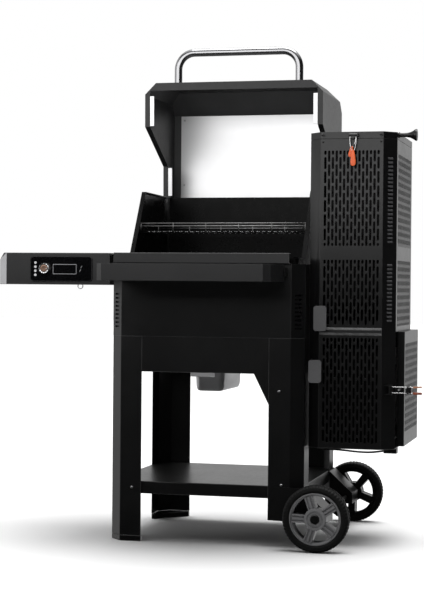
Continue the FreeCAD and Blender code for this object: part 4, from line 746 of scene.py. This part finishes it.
def cabinet_slots():
    """Cutter for the rows of slots in the cabinet's four bevelled corners."""
    low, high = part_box("cabinet_shell")
    half = CABINET_BEVEL / 2
    width, height = CABINET_SLOT
    work = bmesh.new()
    for y, back in ((low.y + half, -1), (high.y - half, 1)):
        for x, right in ((low.x + half, -1), (high.x - half, 1)):
            corner = bevel_frame(x, y, (right, back))
            for z in CABINET_SLOT_HEIGHTS:
                add_box(work, (-width / 2, -CABINET_CUT, z), (width / 2, CABINET_CUT, z + height), corner)
    return mesh_of(work)


# --------------------------------------------------------------------- wheels
# lengths in this section are in millimetres
WHEEL_HALF = 22.0
RIM_SPLIT = 12.0
TREAD_LUGS = 58
TREAD_STEPS = 6
TREAD_GROOVE = 1.1
TREAD_INDENT = 0.5
SPOKES = 5
SPOKE_FLARE = 0.003
WHEELS = (("front", False, 35), ("rear", True, 57))


def tyre_mesh(centre, radius, seat):
    """Tyre whose shoulders are cut into lugs, half a lug apart on its two sides."""
    half = WHEEL_HALF
    side = [
        (half - 4, seat), (half - 1.5, seat + 1.5), (half, seat + 6), (half, radius - 13),
        (half - 0.8, radius - 10), (half - 0.2, radius - 9), (half - 0.8, radius - 5),
        (half - 3, radius - 2), (half - 7, radius - 0.4), (half - 11, radius), (half - 15, radius),
        (half - 16, radius - 2.5),
    ]
    profile = profile_mm(side + [(-along, r) for along, r in reversed(side)])

    def reshape(step, along, r):
        phase = (step + (TREAD_STEPS // 2 if along < 0 else 0)) % TREAD_STEPS
        on_shoulder = r > (radius - 9.5) * MM and abs(along) > (half - 15.5) * MM
        if phase < 2 and on_shoulder:
            return (along * (1 - TREAD_INDENT / half), r - TREAD_GROOVE * MM)
        return (along, r)
    return lathe(profile, TREAD_LUGS * TREAD_STEPS, centre, reshape=reshape)


def rim_mesh(outer, near, far, first_spoke, trim=0.0):
    """Ring, stepped hub and ribbed spokes between two depths, round the origin.

    near is the face that shows, and trim draws the outline in.
    """
    ring = lathe(profile_mm([
        (near, outer - 1.5 - trim), (near + 1.5, outer - trim), (far, outer - trim), (far, outer - 9.5),
        (near + 7, outer - 8), (near + 4, outer - 3.4), (near, outer - 2.8),
    ]), 96, ORIGIN)
    hub = lathe(profile_mm([
        (near + 1, 33 - trim), (near - 0.4, 32 - trim), (near - 1, 30), (near - 1, 25), (near + 1.6, 24),
        (near + 1.6, 20), (near - 0.2, 19), (near - 0.2, 14.5), (near + 3, 13.6), (near + 3, 6.1),
        (far, 6.1), (far, 33 - trim),
    ]), 64, ORIGIN)
    half = 12 - trim
    face = near + 1.5
    right_side = [
        (2.8, face + 0.6), (3.4, face + 4.5), (7.0, face + 4.5), (7.8, face + 0.8), (8.5, face),
        (half - 1, face), (half, face + 1.5), (half, far),
    ]
    section = [(-u, v) for u, v in reversed(right_side)] + right_side
    spokes = []
    for k in range(SPOKES):
        angle = math.radians(first_spoke + 360 / SPOKES * k)
        radial = Vector((math.cos(angle), 0, math.sin(angle)))
        tangent = Vector((-math.sin(angle), 0, math.cos(angle)))

        def place(u, v, w):
            flare = 1 + SPOKE_FLARE * (w - 30)
            return (radial * w + tangent * (u * flare) + Vector((0, v, 0))) * MM
        spokes.append(extrude_outline(section, 31, outer - 8, place))
    return merged(ring, hub, *spokes)


def make_wheels():
    """Treaded tyres on black rims with a grey cover and a black axle cap outside."""
    for side, turned, first_spoke in WHEELS:
        body = side + "_wheel"
        low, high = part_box(body + "_tyre")
        centre = (low + high) / 2
        rim_low, rim_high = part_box(body + "_rim")
        radius, outer = (high.z - low.z) / 2 / MM, (rim_high.z - rim_low.z) / 2 / MM
        face = 1 - WHEEL_HALF
        split = face + RIM_SPLIT
        cover = rim_mesh(outer, face, split, first_spoke)
        inner = rim_mesh(outer, split + 0.05, -face, first_spoke, trim=0.8)
        cap = [(3, 0), (3, 13.2), (-0.2, 13.2), (-1, 11.5), (-0.4, 8), (-0.2, 0)]
        cap = lathe(profile_mm(cap, face * MM), 40, ORIGIN)
        seat = Matrix.Translation(centre) @ Matrix.Rotation(math.pi if turned else 0, 4, "Z")
        for mesh in (cover, inner, cap):
            mesh.transform(seat)
        tyre = tyre_mesh(centre, radius, outer + 0.05)
        add_piece(body + "_treaded_tyre", tyre, body, "tyre", [body + "_tyre"], smooth=35)
        add_piece(body + "_inner_rim", inner, body, "black_plastic", [body + "_rim"], smooth=35)
        add_piece(body + "_cover", cover, body, "wheel_grey", smooth=35)
        add_piece(body + "_axle_cap", cap, body, "black_plastic", smooth=35)


# --------------------------------------------------------------------- latches
HUB_RADIUS = 5.4 * MM
LOOP_WIRE = 1.3 * MM
DOOR_WIRE = 1.5 * MM
# each loop's spread, lean and drop, and how far back it hangs, in millimetres
LATCH_LOOPS = ((8.2, -4.0, 34, 0.8), (9.6, 0.5, 44, -1.6))
# each grip's name, side, radius and rise in millimetres, and look
DOOR_GRIPS = (("upper", 1, 2.2, 1.6, "sleeve_tan"), ("lower", -1, 3.6, 0.0, "sleeve_dark"))


def teardrop(top, bottom, width, thick, name):
    """Soft moulded grip from a wire's end to its round lower end."""
    length = (top - bottom).length
    share = [(0.32, 0.0), (0.78, 0.05), (1.0, 0.18), (0.96, 0.36), (0.78, 0.60), (0.58, 0.82),
             (0.46, 0.95), (0.28, 1.0)]
    half = [(u * width / 2, v * length) for u, v in share]
    outline = half + [(-u, v) for u, v in reversed(half)]
    mesh = extrude_outline(outline, -thick / 2, thick / 2, lambda u, v, w: (u, w, v))
    mesh = bevelled(mesh, thick * 0.36, angle=60)
    lean = math.atan2(top.x - bottom.x, top.z - bottom.z)
    mesh.transform(Matrix.Translation(bottom) @ Matrix.Rotation(lean, 4, "Y"))
    add_piece(name, mesh, body_of("hopper_latch"), "sleeve_orange", smooth=50)


def make_hopper_latch():
    """Toggle latch: two wire loops that hang from a black hub, each with its own grip."""
    low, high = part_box("hopper_latch")
    pivot = Vector(((low.x + high.x) / 2, (low.y + high.y) / 2, high.z - 6 * MM))
    body = body_of("hopper_latch")
    loops = []
    for spread, lean, drop, back in LATCH_LOOPS:
        left, right = ([
            (side * spread * 0.9, 2), (side * spread, -8), (side * spread + lean * 0.5, -22),
            (side * spread * 0.5 + lean, -drop), (side * 1.4 + lean, -drop - 6),
        ] for side in (-1, 1))
        loop = [moved(pivot, u, back, z) for u, z in left + list(reversed(right))]
        loops.append(wire_mesh(loop, LOOP_WIRE, resolution=8))
    add_piece("hopper_latch_loops", merged(*loops), body, "latch_wire", ["hopper_latch"], smooth=60)
    hub = tube_between((low.x, pivot.y, pivot.z), (high.x, pivot.y, pivot.z), HUB_RADIUS)
    catch = profile_mm([(-4.5, 0), (-4.5, 6.0), (-2.5, 7.6), (2, 7.6), (3, 6.0), (3, 0)])
    catch = lathe(catch, 28, moved(pivot, z=-5))
    add_piece("hopper_latch_hub", merged(hub, catch), body, "black_plastic")
    foot = Vector((pivot.x, pivot.y, low.z + 0.6 * MM))
    teardrop(moved(pivot, -3.2, 1.2, -33), moved(foot, -8.0, 1.2, 27), 15 * MM, 5.5 * MM,
             "hopper_latch_grip_left")
    teardrop(moved(pivot, 0.5, -2.2, -44), moved(foot, 0.8, -2.2), 16 * MM, 6.5 * MM,
             "hopper_latch_grip_right")


def make_door_latch():
    """Two wires from the door's edge to a clamp, with a thin grip and a stout one."""
    low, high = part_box("door_latch")
    pivot = Vector((low.x + 6 * MM, (low.y + high.y) / 2, (low.z + high.z) / 2))
    body = body_of("door_latch")
    for name, side, radius, rise, look in DOOR_GRIPS:
        start = moved(pivot, z=9 * side)
        root = Vector((high.x - 27 * MM, start.y, start.z))
        end = Vector((high.x - 0.2 * MM, start.y, start.z + rise * MM))
        route = [moved(start, 3), moved(start, 20)]
        route += [moved(root, -18, -0.8), moved(root, -8, -1.6), moved(root, 6)]
        stand_in = ["door_latch"] if side == 1 else []
        wire = wire_mesh(route, DOOR_WIRE)
        add_piece("door_latch_wire_" + name, wire, body, "latch_wire", stand_in, smooth=60)
        sleeve = tube_between(root, end, radius * MM, dome=0.2 * MM)
        add_piece("door_latch_grip_" + name, sleeve, body, look, smooth=50)
    hub = tube_between((pivot.x, pivot.y, low.z), (pivot.x, pivot.y, high.z), HUB_RADIUS)
    add_piece("door_latch_hub", hub, body, "black_plastic")
    clamp = Vector((high.x - 41 * MM, pivot.y, pivot.z))
    pins = [tube_between(moved(clamp, u, 0, -12.4), moved(clamp, u, 0, 12.4), radius * MM, steps=16)
            for u, radius in ((-7, 2.0), (7, 2.6))]
    add_piece("door_latch_pins", merged(*pins), body, "latch_wire", smooth=50)
    block = soft_box(moved(clamp, -5, -2.6, -11), moved(clamp, 9, 2.6, 11), 1.6 * MM)
    add_piece("door_latch_clamp", block, body, "black_plastic", smooth=40)


# ------------------------------------------------------------------ small parts
KNOB_LENGTH = 59.5
KNOB_RADIUS = 18
LEAD_RADIUS = 3 * MM
# control points of the blower lead's route, in millimetres
LEAD_ROUTE = [
    (533.5, -30, 283), (509, -30.4, 278.5), (478, -31.5, 276.5), (443, -33, 278), (406, -33, 281.5),
    (368, -29, 283), (330, -22, 281), (302, -12, 313), (281, -4, 367), (268, 4, 429), (262, 8, 494),
    (260, 10, 566), (260, 10.5, 632),
]


def make_knob():
    """Flared knob on the hopper lid's right edge."""
    low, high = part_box("hopper_lid_knob")
    middle = (low + high) / 2
    stretch, swell = (high.x - low.x) / KNOB_LENGTH, (high.z - low.z) / 2 / KNOB_RADIUS
    profile = [(0, 0), (0, 9), (2.5, 9), (3.2, 7), (14, 6.2), (26, 6.6), (36, 8.4), (45, 12.2), (51, 16),
               (54, 17.8), (57, 18), (59, 17), (59.5, 14), (58.4, 9), (58.0, 0)]
    points = [(low.x + along * stretch, radius * swell) for along, radius in profile]
    mesh = lathe(points, 48, (0, middle.y, middle.z), "X")
    add_piece("hopper_lid_trumpet_knob", mesh, "hopper_cover", "black_plastic", ["hopper_lid_knob"],
              smooth=50)


def screw_head(centre, radius, height):
    """Pan head with a cross recess, facing the front."""
    profile = [(0, radius), (-height * 0.45, radius), (-height * 0.85, radius * 0.8),
               (-height, radius * 0.5), (-height, 0), (0, 0)]
    work = bmesh.new()
    arm, width = radius * 0.55, radius * 0.11
    for a, b in ((arm, width), (width, arm)):
        add_box(work, centre + Vector((-a, -height * 1.3, -b)), centre + Vector((a, -height * 0.5, b)))
    return carved(lathe(profile, 24, centre), mesh_of(work))


def dome_head(centre):
    """Low round head of a rivet or screw, facing the front."""
    return lathe(profile_mm([(0, 0), (0, 3.4), (-0.7, 2.9), (-1.3, 1.6), (-1.5, 0)]), 20, centre)


def islands(node_name):
    """Box of each separate solid in a CAD node."""
    work = bmesh.new()
    work.from_mesh(NODES[node_name].data)
    bmesh.ops.remove_doubles(work, verts=work.verts, dist=WELD)
    left = set(work.verts)
    found = []
    while left:
        stack = [left.pop()]
        group = list(stack)
        while stack:
            for edge in stack.pop().link_edges:
                for vert in left.intersection(edge.verts):
                    left.remove(vert)
                    stack.append(vert)
                    group.append(vert)
        low = Vector([min(v.co[k] for v in group) for k in range(3)])
        high = Vector([max(v.co[k] for v in group) for k in range(3)])
        found.append((low, high))
    work.free()
    return sorted(found, key=lambda pair: tuple(pair[0]))


def make_screws():
    heads = []
    for low, high in islands("screws"):
        centre = Vector(((low.x + high.x) / 2, high.y, (low.z + high.z) / 2))
        heads.append(screw_head(centre, (high.x - low.x) / 2, high.y - low.y))
    add_piece("cross_head_screws", merged(*heads), body_of("screws"), "zinc", ["screws"], smooth=40)


def make_blower_lead():
    points = [moved(ORIGIN, *point) for point in LEAD_ROUTE]
    mesh = wire_mesh(points, LEAD_RADIUS, steps=4, resolution=10)
    add_piece("blower_lead", mesh, body_of("blower_cable"), "black_plastic", ["blower_cable"], smooth=60)


# -------------------------------------------------------------- control panel
BUTTONS = ["push_button_%d" % (k + 1) for k in range(4)]
BUTTON_HOLE = 4.1 * MM
SHAFT_HOLE = 3.2 * MM
SHAFT_RADIUS = 3 * MM
DIAL_STEPS = 120
DIAL_TICKS = 12


def inset_outline(low, high, inset, radius):
    """Rounded outline of a box seen from the front, drawn in by an inset; in millimetres."""
    inset = inset * MM
    return rounded_outline(low.x + inset, high.x - inset, low.z + inset, high.z - inset, radius * MM)


def make_fascia():
    """Glossy front with a faint painted highlight along its edge, a framed display and plain marks."""
    low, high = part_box("control_panel")
    body = body_of("control_panel")
    dial = middle_of("control_dial")
    holes = [circle_outline(dial.x, dial.z, SHAFT_HOLE)]
    for button in map(middle_of, BUTTONS):
        holes.append(circle_outline(button.x, button.z, BUTTON_HOLE, 20))
    plate = front_plate(inset_outline(low, high, 0, 11), holes, high.y, high.y - low.y)
    add_piece("control_fascia", plate, body, "gloss_panel", ["control_panel"], smooth=35)
    window_low, window_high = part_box("display_window")
    pane = inset_outline(window_low, window_high, 1.5, 1.5)
    border = inset_outline(window_low, window_high, 0, 2)
    border = front_plate(border, [pane], window_low.y + 1 * MM, 0.9 * MM)
    add_piece("display_frame", border, body, "print_grey", smooth=35)
    glass = front_plate(pane, [], window_high.y, 0.8 * MM)
    add_piece("display_glass", glass, body, "gloss_panel", ["display_window"], smooth=35)
    # thin dim grey ring just inside the edge: painted highlight of the bezel
    outer, inner = inset_outline(low, high, 1.2, 10), inset_outline(low, high, 2.0, 9.2)
    line = front_plate(outer, [inner], low.y + 0.4 * MM, 0.7 * MM)
    add_piece("fascia_bezel_highlight", line, body, "bezel_highlight_grey", smooth=35)
    marks = []
    for u, v in ((16, 5.5), (11.8, -5.5)):
        centre = moved((window_high.x, low.y, dial.z), u, 0, v)
        start, end = moved(centre, -2.2, 0, -3.5), moved(centre, 2.2, 0, 3.5)
        marks.append(tube_between(start, end, 0.8 * MM, steps=10))
    add_piece("panel_marks", merged(*marks), body, "print_grey")


def make_dial():
    """Knurled ring round a copper-coloured cap, with ticks and a pointer."""
    low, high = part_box("control_dial")
    dial = middle_of("control_dial")
    centre = (dial.x, 0, dial.z)
    front, back = low.y, high.y - 3.5 * MM

    def knurl(step, along, r):
        on_grip = r > 16.5 * MM and along > front + 2 * MM
        return (along, r - (0.5 * MM if step % 2 and on_grip else 0))
    profile = [(back, 0), (back, 17.6 * MM)]
    profile += profile_mm([(3, 17.2), (1.2, 16.2), (0.3, 14.5), (1.0, 12.8), (1.8, 0)], front)
    ring = lathe(profile, DIAL_STEPS, centre, reshape=knurl)
    add_piece("dial_knurled_ring", ring, "dial", "chrome", ["control_dial"], smooth=30)
    cap = profile_mm([(2.2, 0), (2.2, 12.2), (0.9, 11.8), (0.4, 10), (0.9, 5), (1.1, 0)], front)
    add_piece("dial_cap", lathe(cap, 48, centre), "dial", "dial_metal", smooth=40)
    face = Vector((dial.x, front, dial.z))
    ticks = bmesh.new()
    for k in range(DIAL_TICKS):
        angle = math.radians(15 + 360 / DIAL_TICKS * k)
        turn = Matrix.Translation(face) @ Matrix.Rotation(angle, 4, "Y")
        add_box(ticks, moved(ORIGIN, 12.9, -0.1, -1.5), moved(ORIGIN, 16.6, 1.6, 1.5), turn)
    add_piece("dial_ticks", mesh_of(ticks), "dial", "black_plastic", smooth=30)
    start = back - 1 * MM
    shaft = lathe([(start, 0), (start, SHAFT_RADIUS), (high.y, SHAFT_RADIUS), (high.y, 0)], 24, centre)
    add_piece("dial_shaft", shaft, "dial", "black_plastic", smooth=40)
    pointer = tube_between(moved(face, 6, 0.9), moved(face, 11, 0.9), 0.9 * MM, steps=10)
    add_piece("dial_pointer", pointer, "dial", "button_white", smooth=40)


def make_buttons():
    """Dished round buttons."""
    for name in BUTTONS:
        low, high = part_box(name)
        middle = (low + high) / 2
        r = (high.x - low.x) / 2
        profile = [(high.y, 0), (high.y, r), (low.y + 0.8 * MM, r), (low.y + 0.15 * MM, r * 0.82),
                   (low.y + 0.4 * MM, r * 0.5), (low.y + 0.5 * MM, 0)]
        mesh = lathe(profile, 28, (middle.x, 0, middle.z))
        add_piece(name + "_cap", mesh, body_of(name), "button_white", [name], smooth=40)


# ---------------------------------------------------------------- small fittings
PAN_RIM = 10 * MM
PAN_SHEET = 1.2 * MM
# how far in and how high each ring of the pan's wall lies, in millimetres
PAN_WALL = [(20, 0.0), (14, 0.2), (8, 2.4), (4.5, 7.5), (2.5, 16)]
RACK_WIRE = 1.5 * MM
RACK_FLOOR_WIRE = 1.2 * MM
RACK_RAIL_GAP = 9 * MM
RACK_POST_PITCH = 95 * MM
RACK_LOOP_PITCH = 18 * MM
RACK_BEND = 3 * MM
NUT_PROFILE = [(-2, 0), (-2, 8), (-3.4, 8), (-3.6, 5.5), (-8, 5.2), (-8.6, 4), (-8.6, 0)]
# sizes of the light grey piece that paints the shelf end's highlight
END_SHINE_SLANT = 0.6 * MM * 0.7071
END_SHINE_INSET = 1.0 * MM
END_SHINE_CORNER = 20 * MM


def make_grease_pan():
    """Drawn pan with a flat rim, round corners and a rolled pull lip."""
    low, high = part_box("grease_tray")
    body = body_of("grease_tray")
    deep = high.z - low.z

    def ring(inset, up):
        radius = max(22 * MM - inset, 4 * MM)
        edge = PAN_RIM + inset
        flat = rounded_outline(low.x + edge, high.x - edge, low.y + edge, high.y - edge, radius)
        return [(u, v, low.z + up) for u, v in flat]
    under, over = deep - 2 * PAN_SHEET, deep - PAN_SHEET
    outside = [ring(inset * MM, up * MM) for inset, up in PAN_WALL] + [ring(0, under)]
    top = [ring(-PAN_RIM, under), ring(-PAN_RIM, over), ring(PAN_SHEET, over)]
    inside = [ring(inset * MM + PAN_SHEET, up * MM + PAN_SHEET) for inset, up in reversed(PAN_WALL)]
    add_piece("grease_pan", loft(outside + top + inside), body, "aluminium", ["grease_tray"], smooth=40)
    corner = Vector((low.x, low.y, high.z))
    lip = soft_box(moved(corner, z=-17), moved(corner, 80, 4), 1.9 * MM)
    add_piece("grease_pan_lip", lip, body, "button_white", smooth=40)


def make_rack():
    """Warming rack: double rails on posts, and floor wires bent in pairs."""
    low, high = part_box("warming_rack")
    body = body_of("warming_rack")
    left, right, front, back = low.x + RACK_WIRE, high.x - RACK_WIRE, low.y + RACK_WIRE, high.y - RACK_WIRE
    top, floor = high.z - RACK_WIRE, low.z + 2 * RACK_WIRE
    rails = []
    posts = int((right - left) / RACK_POST_PITCH)
    for y in (front, back):
        for z in (top, top - RACK_RAIL_GAP):
            rails.append(tube_between((left, y, z), (right, y, z), RACK_WIRE, steps=10))
        for k in range(posts + 1):
            x = left + (right - left) * k / posts
            rails.append(tube_between((x, y, floor), (x, y, top), RACK_WIRE, steps=8))
    for x in (left, right):
        rails.append(tube_between((x, front, top), (x, back, top), RACK_WIRE, steps=10))
    add_piece("warming_rack_rails", merged(*rails), body, "rack_wire", ["warming_rack"], smooth=50)
    rods = [tube_between((left, y, floor), (right, y, floor), RACK_WIRE, steps=10) for y in (front, back)]
    add_piece("warming_rack_frame", merged(*rods), body, "dark_enamel", smooth=50)
    loops = []
    count = int((right - left - 2 * RACK_LOOP_PITCH) / RACK_LOOP_PITCH)
    start = (left + right - count * RACK_LOOP_PITCH) / 2
    z = floor - 1.4 * MM
    for k in range(count):
        a = start + RACK_LOOP_PITCH * k + RACK_BEND
        b = a + RACK_LOOP_PITCH - 2 * RACK_BEND
        going = [(a, front, z), (a, back - RACK_BEND, z), (a, back, z), (a + RACK_BEND, back, z)]
        coming = [(b - RACK_BEND, back, z), (b, back, z), (b, back - RACK_BEND, z), (b, front, z)]
        loops.append(wire_mesh(going + coming, RACK_FLOOR_WIRE, steps=1, resolution=2))
    add_piece("warming_rack_loops", merged(*loops), body, "chrome", smooth=50)


def make_fittings():
    """Screws, nuts and rivets that hold the sheets."""
    low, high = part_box("hopper_lid")
    cheek = CABINET_BEVEL + 7 * MM
    places = (low.x + cheek, high.x - cheek)
    heads = [dome_head((x, low.y, high.z - 10 * MM)) for x in places]
    add_piece("hopper_lid_screws", merged(*heads), body_of("hopper_lid"), "black_plastic", smooth=40)
    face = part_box("front_upper_panel")[0].y
    heads = [dome_head((x, face, low.z - 5 * MM)) for x in places]
    add_piece("tower_front_screws", merged(*heads), body_of("tower_casing"), "black_plastic", smooth=40)
    low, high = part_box("lid_liner")
    heights = (low.z + 60 * MM, (low.z + high.z) / 2, high.z - 14 * MM)
    heads = [dome_head((x, low.y, z)) for x in (low.x + 12 * MM, high.x - 12 * MM) for z in heights]
    add_piece("liner_rivets", merged(*heads), "lid", "zinc", smooth=50)
    low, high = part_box("lid_handle")
    nut = profile_mm(NUT_PROFILE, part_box("lid_shell")[1].z)
    nuts = [lathe(nut, 6, (x, y, 0), axis="Z") for x in (low.x + 18 * MM, high.x - 18 * MM)
            for y in (low.y + 6 * MM, high.y - 6 * MM)]
    add_piece("handle_nuts", merged(*nuts), "lid", "zinc", smooth=20)


def make_shelf_end():
    """Light grey sheet over the side shelf's bevelled outer end, a painted highlight of the light it
    reflects.
    """
    low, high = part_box("side_shelf")
    start = (low.x + CABINET_BEVEL - END_SHINE_INSET, low.y + END_SHINE_INSET)
    end = (low.x + END_SHINE_INSET, low.y + CABINET_BEVEL - END_SHINE_INSET)
    outline = [start, end] + [(u - END_SHINE_SLANT, v - END_SHINE_SLANT) for u, v in (end, start)]

    def place(u, v, w):
        top = high.z - max(0.0, END_SHINE_CORNER - (u - low.x)) - 1.0 * MM
        return (u, v, top if w else low.z + 1.2 * MM)
    mesh = extrude_outline(outline, 0, 1, place)
    add_piece("side_shelf_end_highlight", mesh, body_of("side_shelf"), "shelf_end_highlight_grey", smooth=30)


# ------------------------------------------------------------------ assembling
INSIDE_REACH = 60 * MM
BAR_RADIUS = 7 * MM
PLAIN_NODES = {
    "handle_steel": ["lid_handle"], "chrome": ["tool_hook"], "stainless": ["lid_liner"],
    "black_plastic": ["axle", "cable_gland", "blower_rotor", "blower_housing", "power_inlet"],
    "zinc": ["lid_pivot_bolts", "tray_runners"], "tab_grey": ["upper_shutter", "lower_shutter"],
    "powder_coat": ["tower_hardware", "hopper_lid", "shelf_brackets"], "cast_iron": ["fire_grate"],
    "dark_enamel": ["charcoal_hopper", "ash_bin", "heat_manifold", "firebox_floor"],
}
FORMED_NODES = [
    ("stand_coat", ["left_legs", "right_legs"]), ("black_plastic", ["foot_caps"]),
    ("stand_coat", ["apron_rails", "bottom_shelf", "wheel_bracket"]),
    ("dark_enamel", ["firebox_side_walls", "firebox_front_and_back"]),
    ("satin_grey", ["front_ledge", "front_shelf", "side_shelf"]), ("stainless", ["lid_rim_strips"]),
    ("powder_coat", ["lid_hinge_arms", "tower_casing"]), ("cast_iron", ["cooking_grates"]),
]


def dress_nodes():
    """Materials for the CAD nodes that stay as they are."""
    for look, names in PLAIN_NODES.items():
        for name in names:
            materials = NODES[name].data.materials
            materials.clear()
            materials.append(LOOK[look])


def paint_lid_bounce_light(lid):
    """Paler coat on the lid's inner faces, which look towards its middle: painted light that stands in for
    light bounced off the stainless liner.
    """
    middle = middle_of("lid_shell")
    lid.data.materials.append(LOOK["lid_inside_painted_light"])
    for polygon in lid.data.polygons:
        if polygon.normal.dot(polygon.center - middle) < -INSIDE_REACH:
            polygon.material_index = 1


def make_formed_parts():
    for look, names in FORMED_NODES:
        for name in names:
            soften(name, look)
    paint_lid_bounce_light(soften("lid_shell", "lid_coat"))
    soften("front_cross_bar", "lid_coat", radius=BAR_RADIUS)
    soften("cabinet_shell", "powder_coat", cutter=cabinet_slots())
    soften("ash_door", "powder_coat", cutter=door_slots())


make_coats()
make_metals()
make_plastics()
make_camera()
make_world()
make_sky_light()
make_front_panel(make_floor())
dress_nodes()
make_formed_parts()
make_perforated_panels()
make_louvres()
make_wheels()
make_hopper_latch()
make_door_latch()
make_knob()
make_screws()
make_blower_lead()
make_fascia()
make_dial()
make_buttons()
make_grease_pan()
make_rack()
make_fittings()
make_shelf_end()
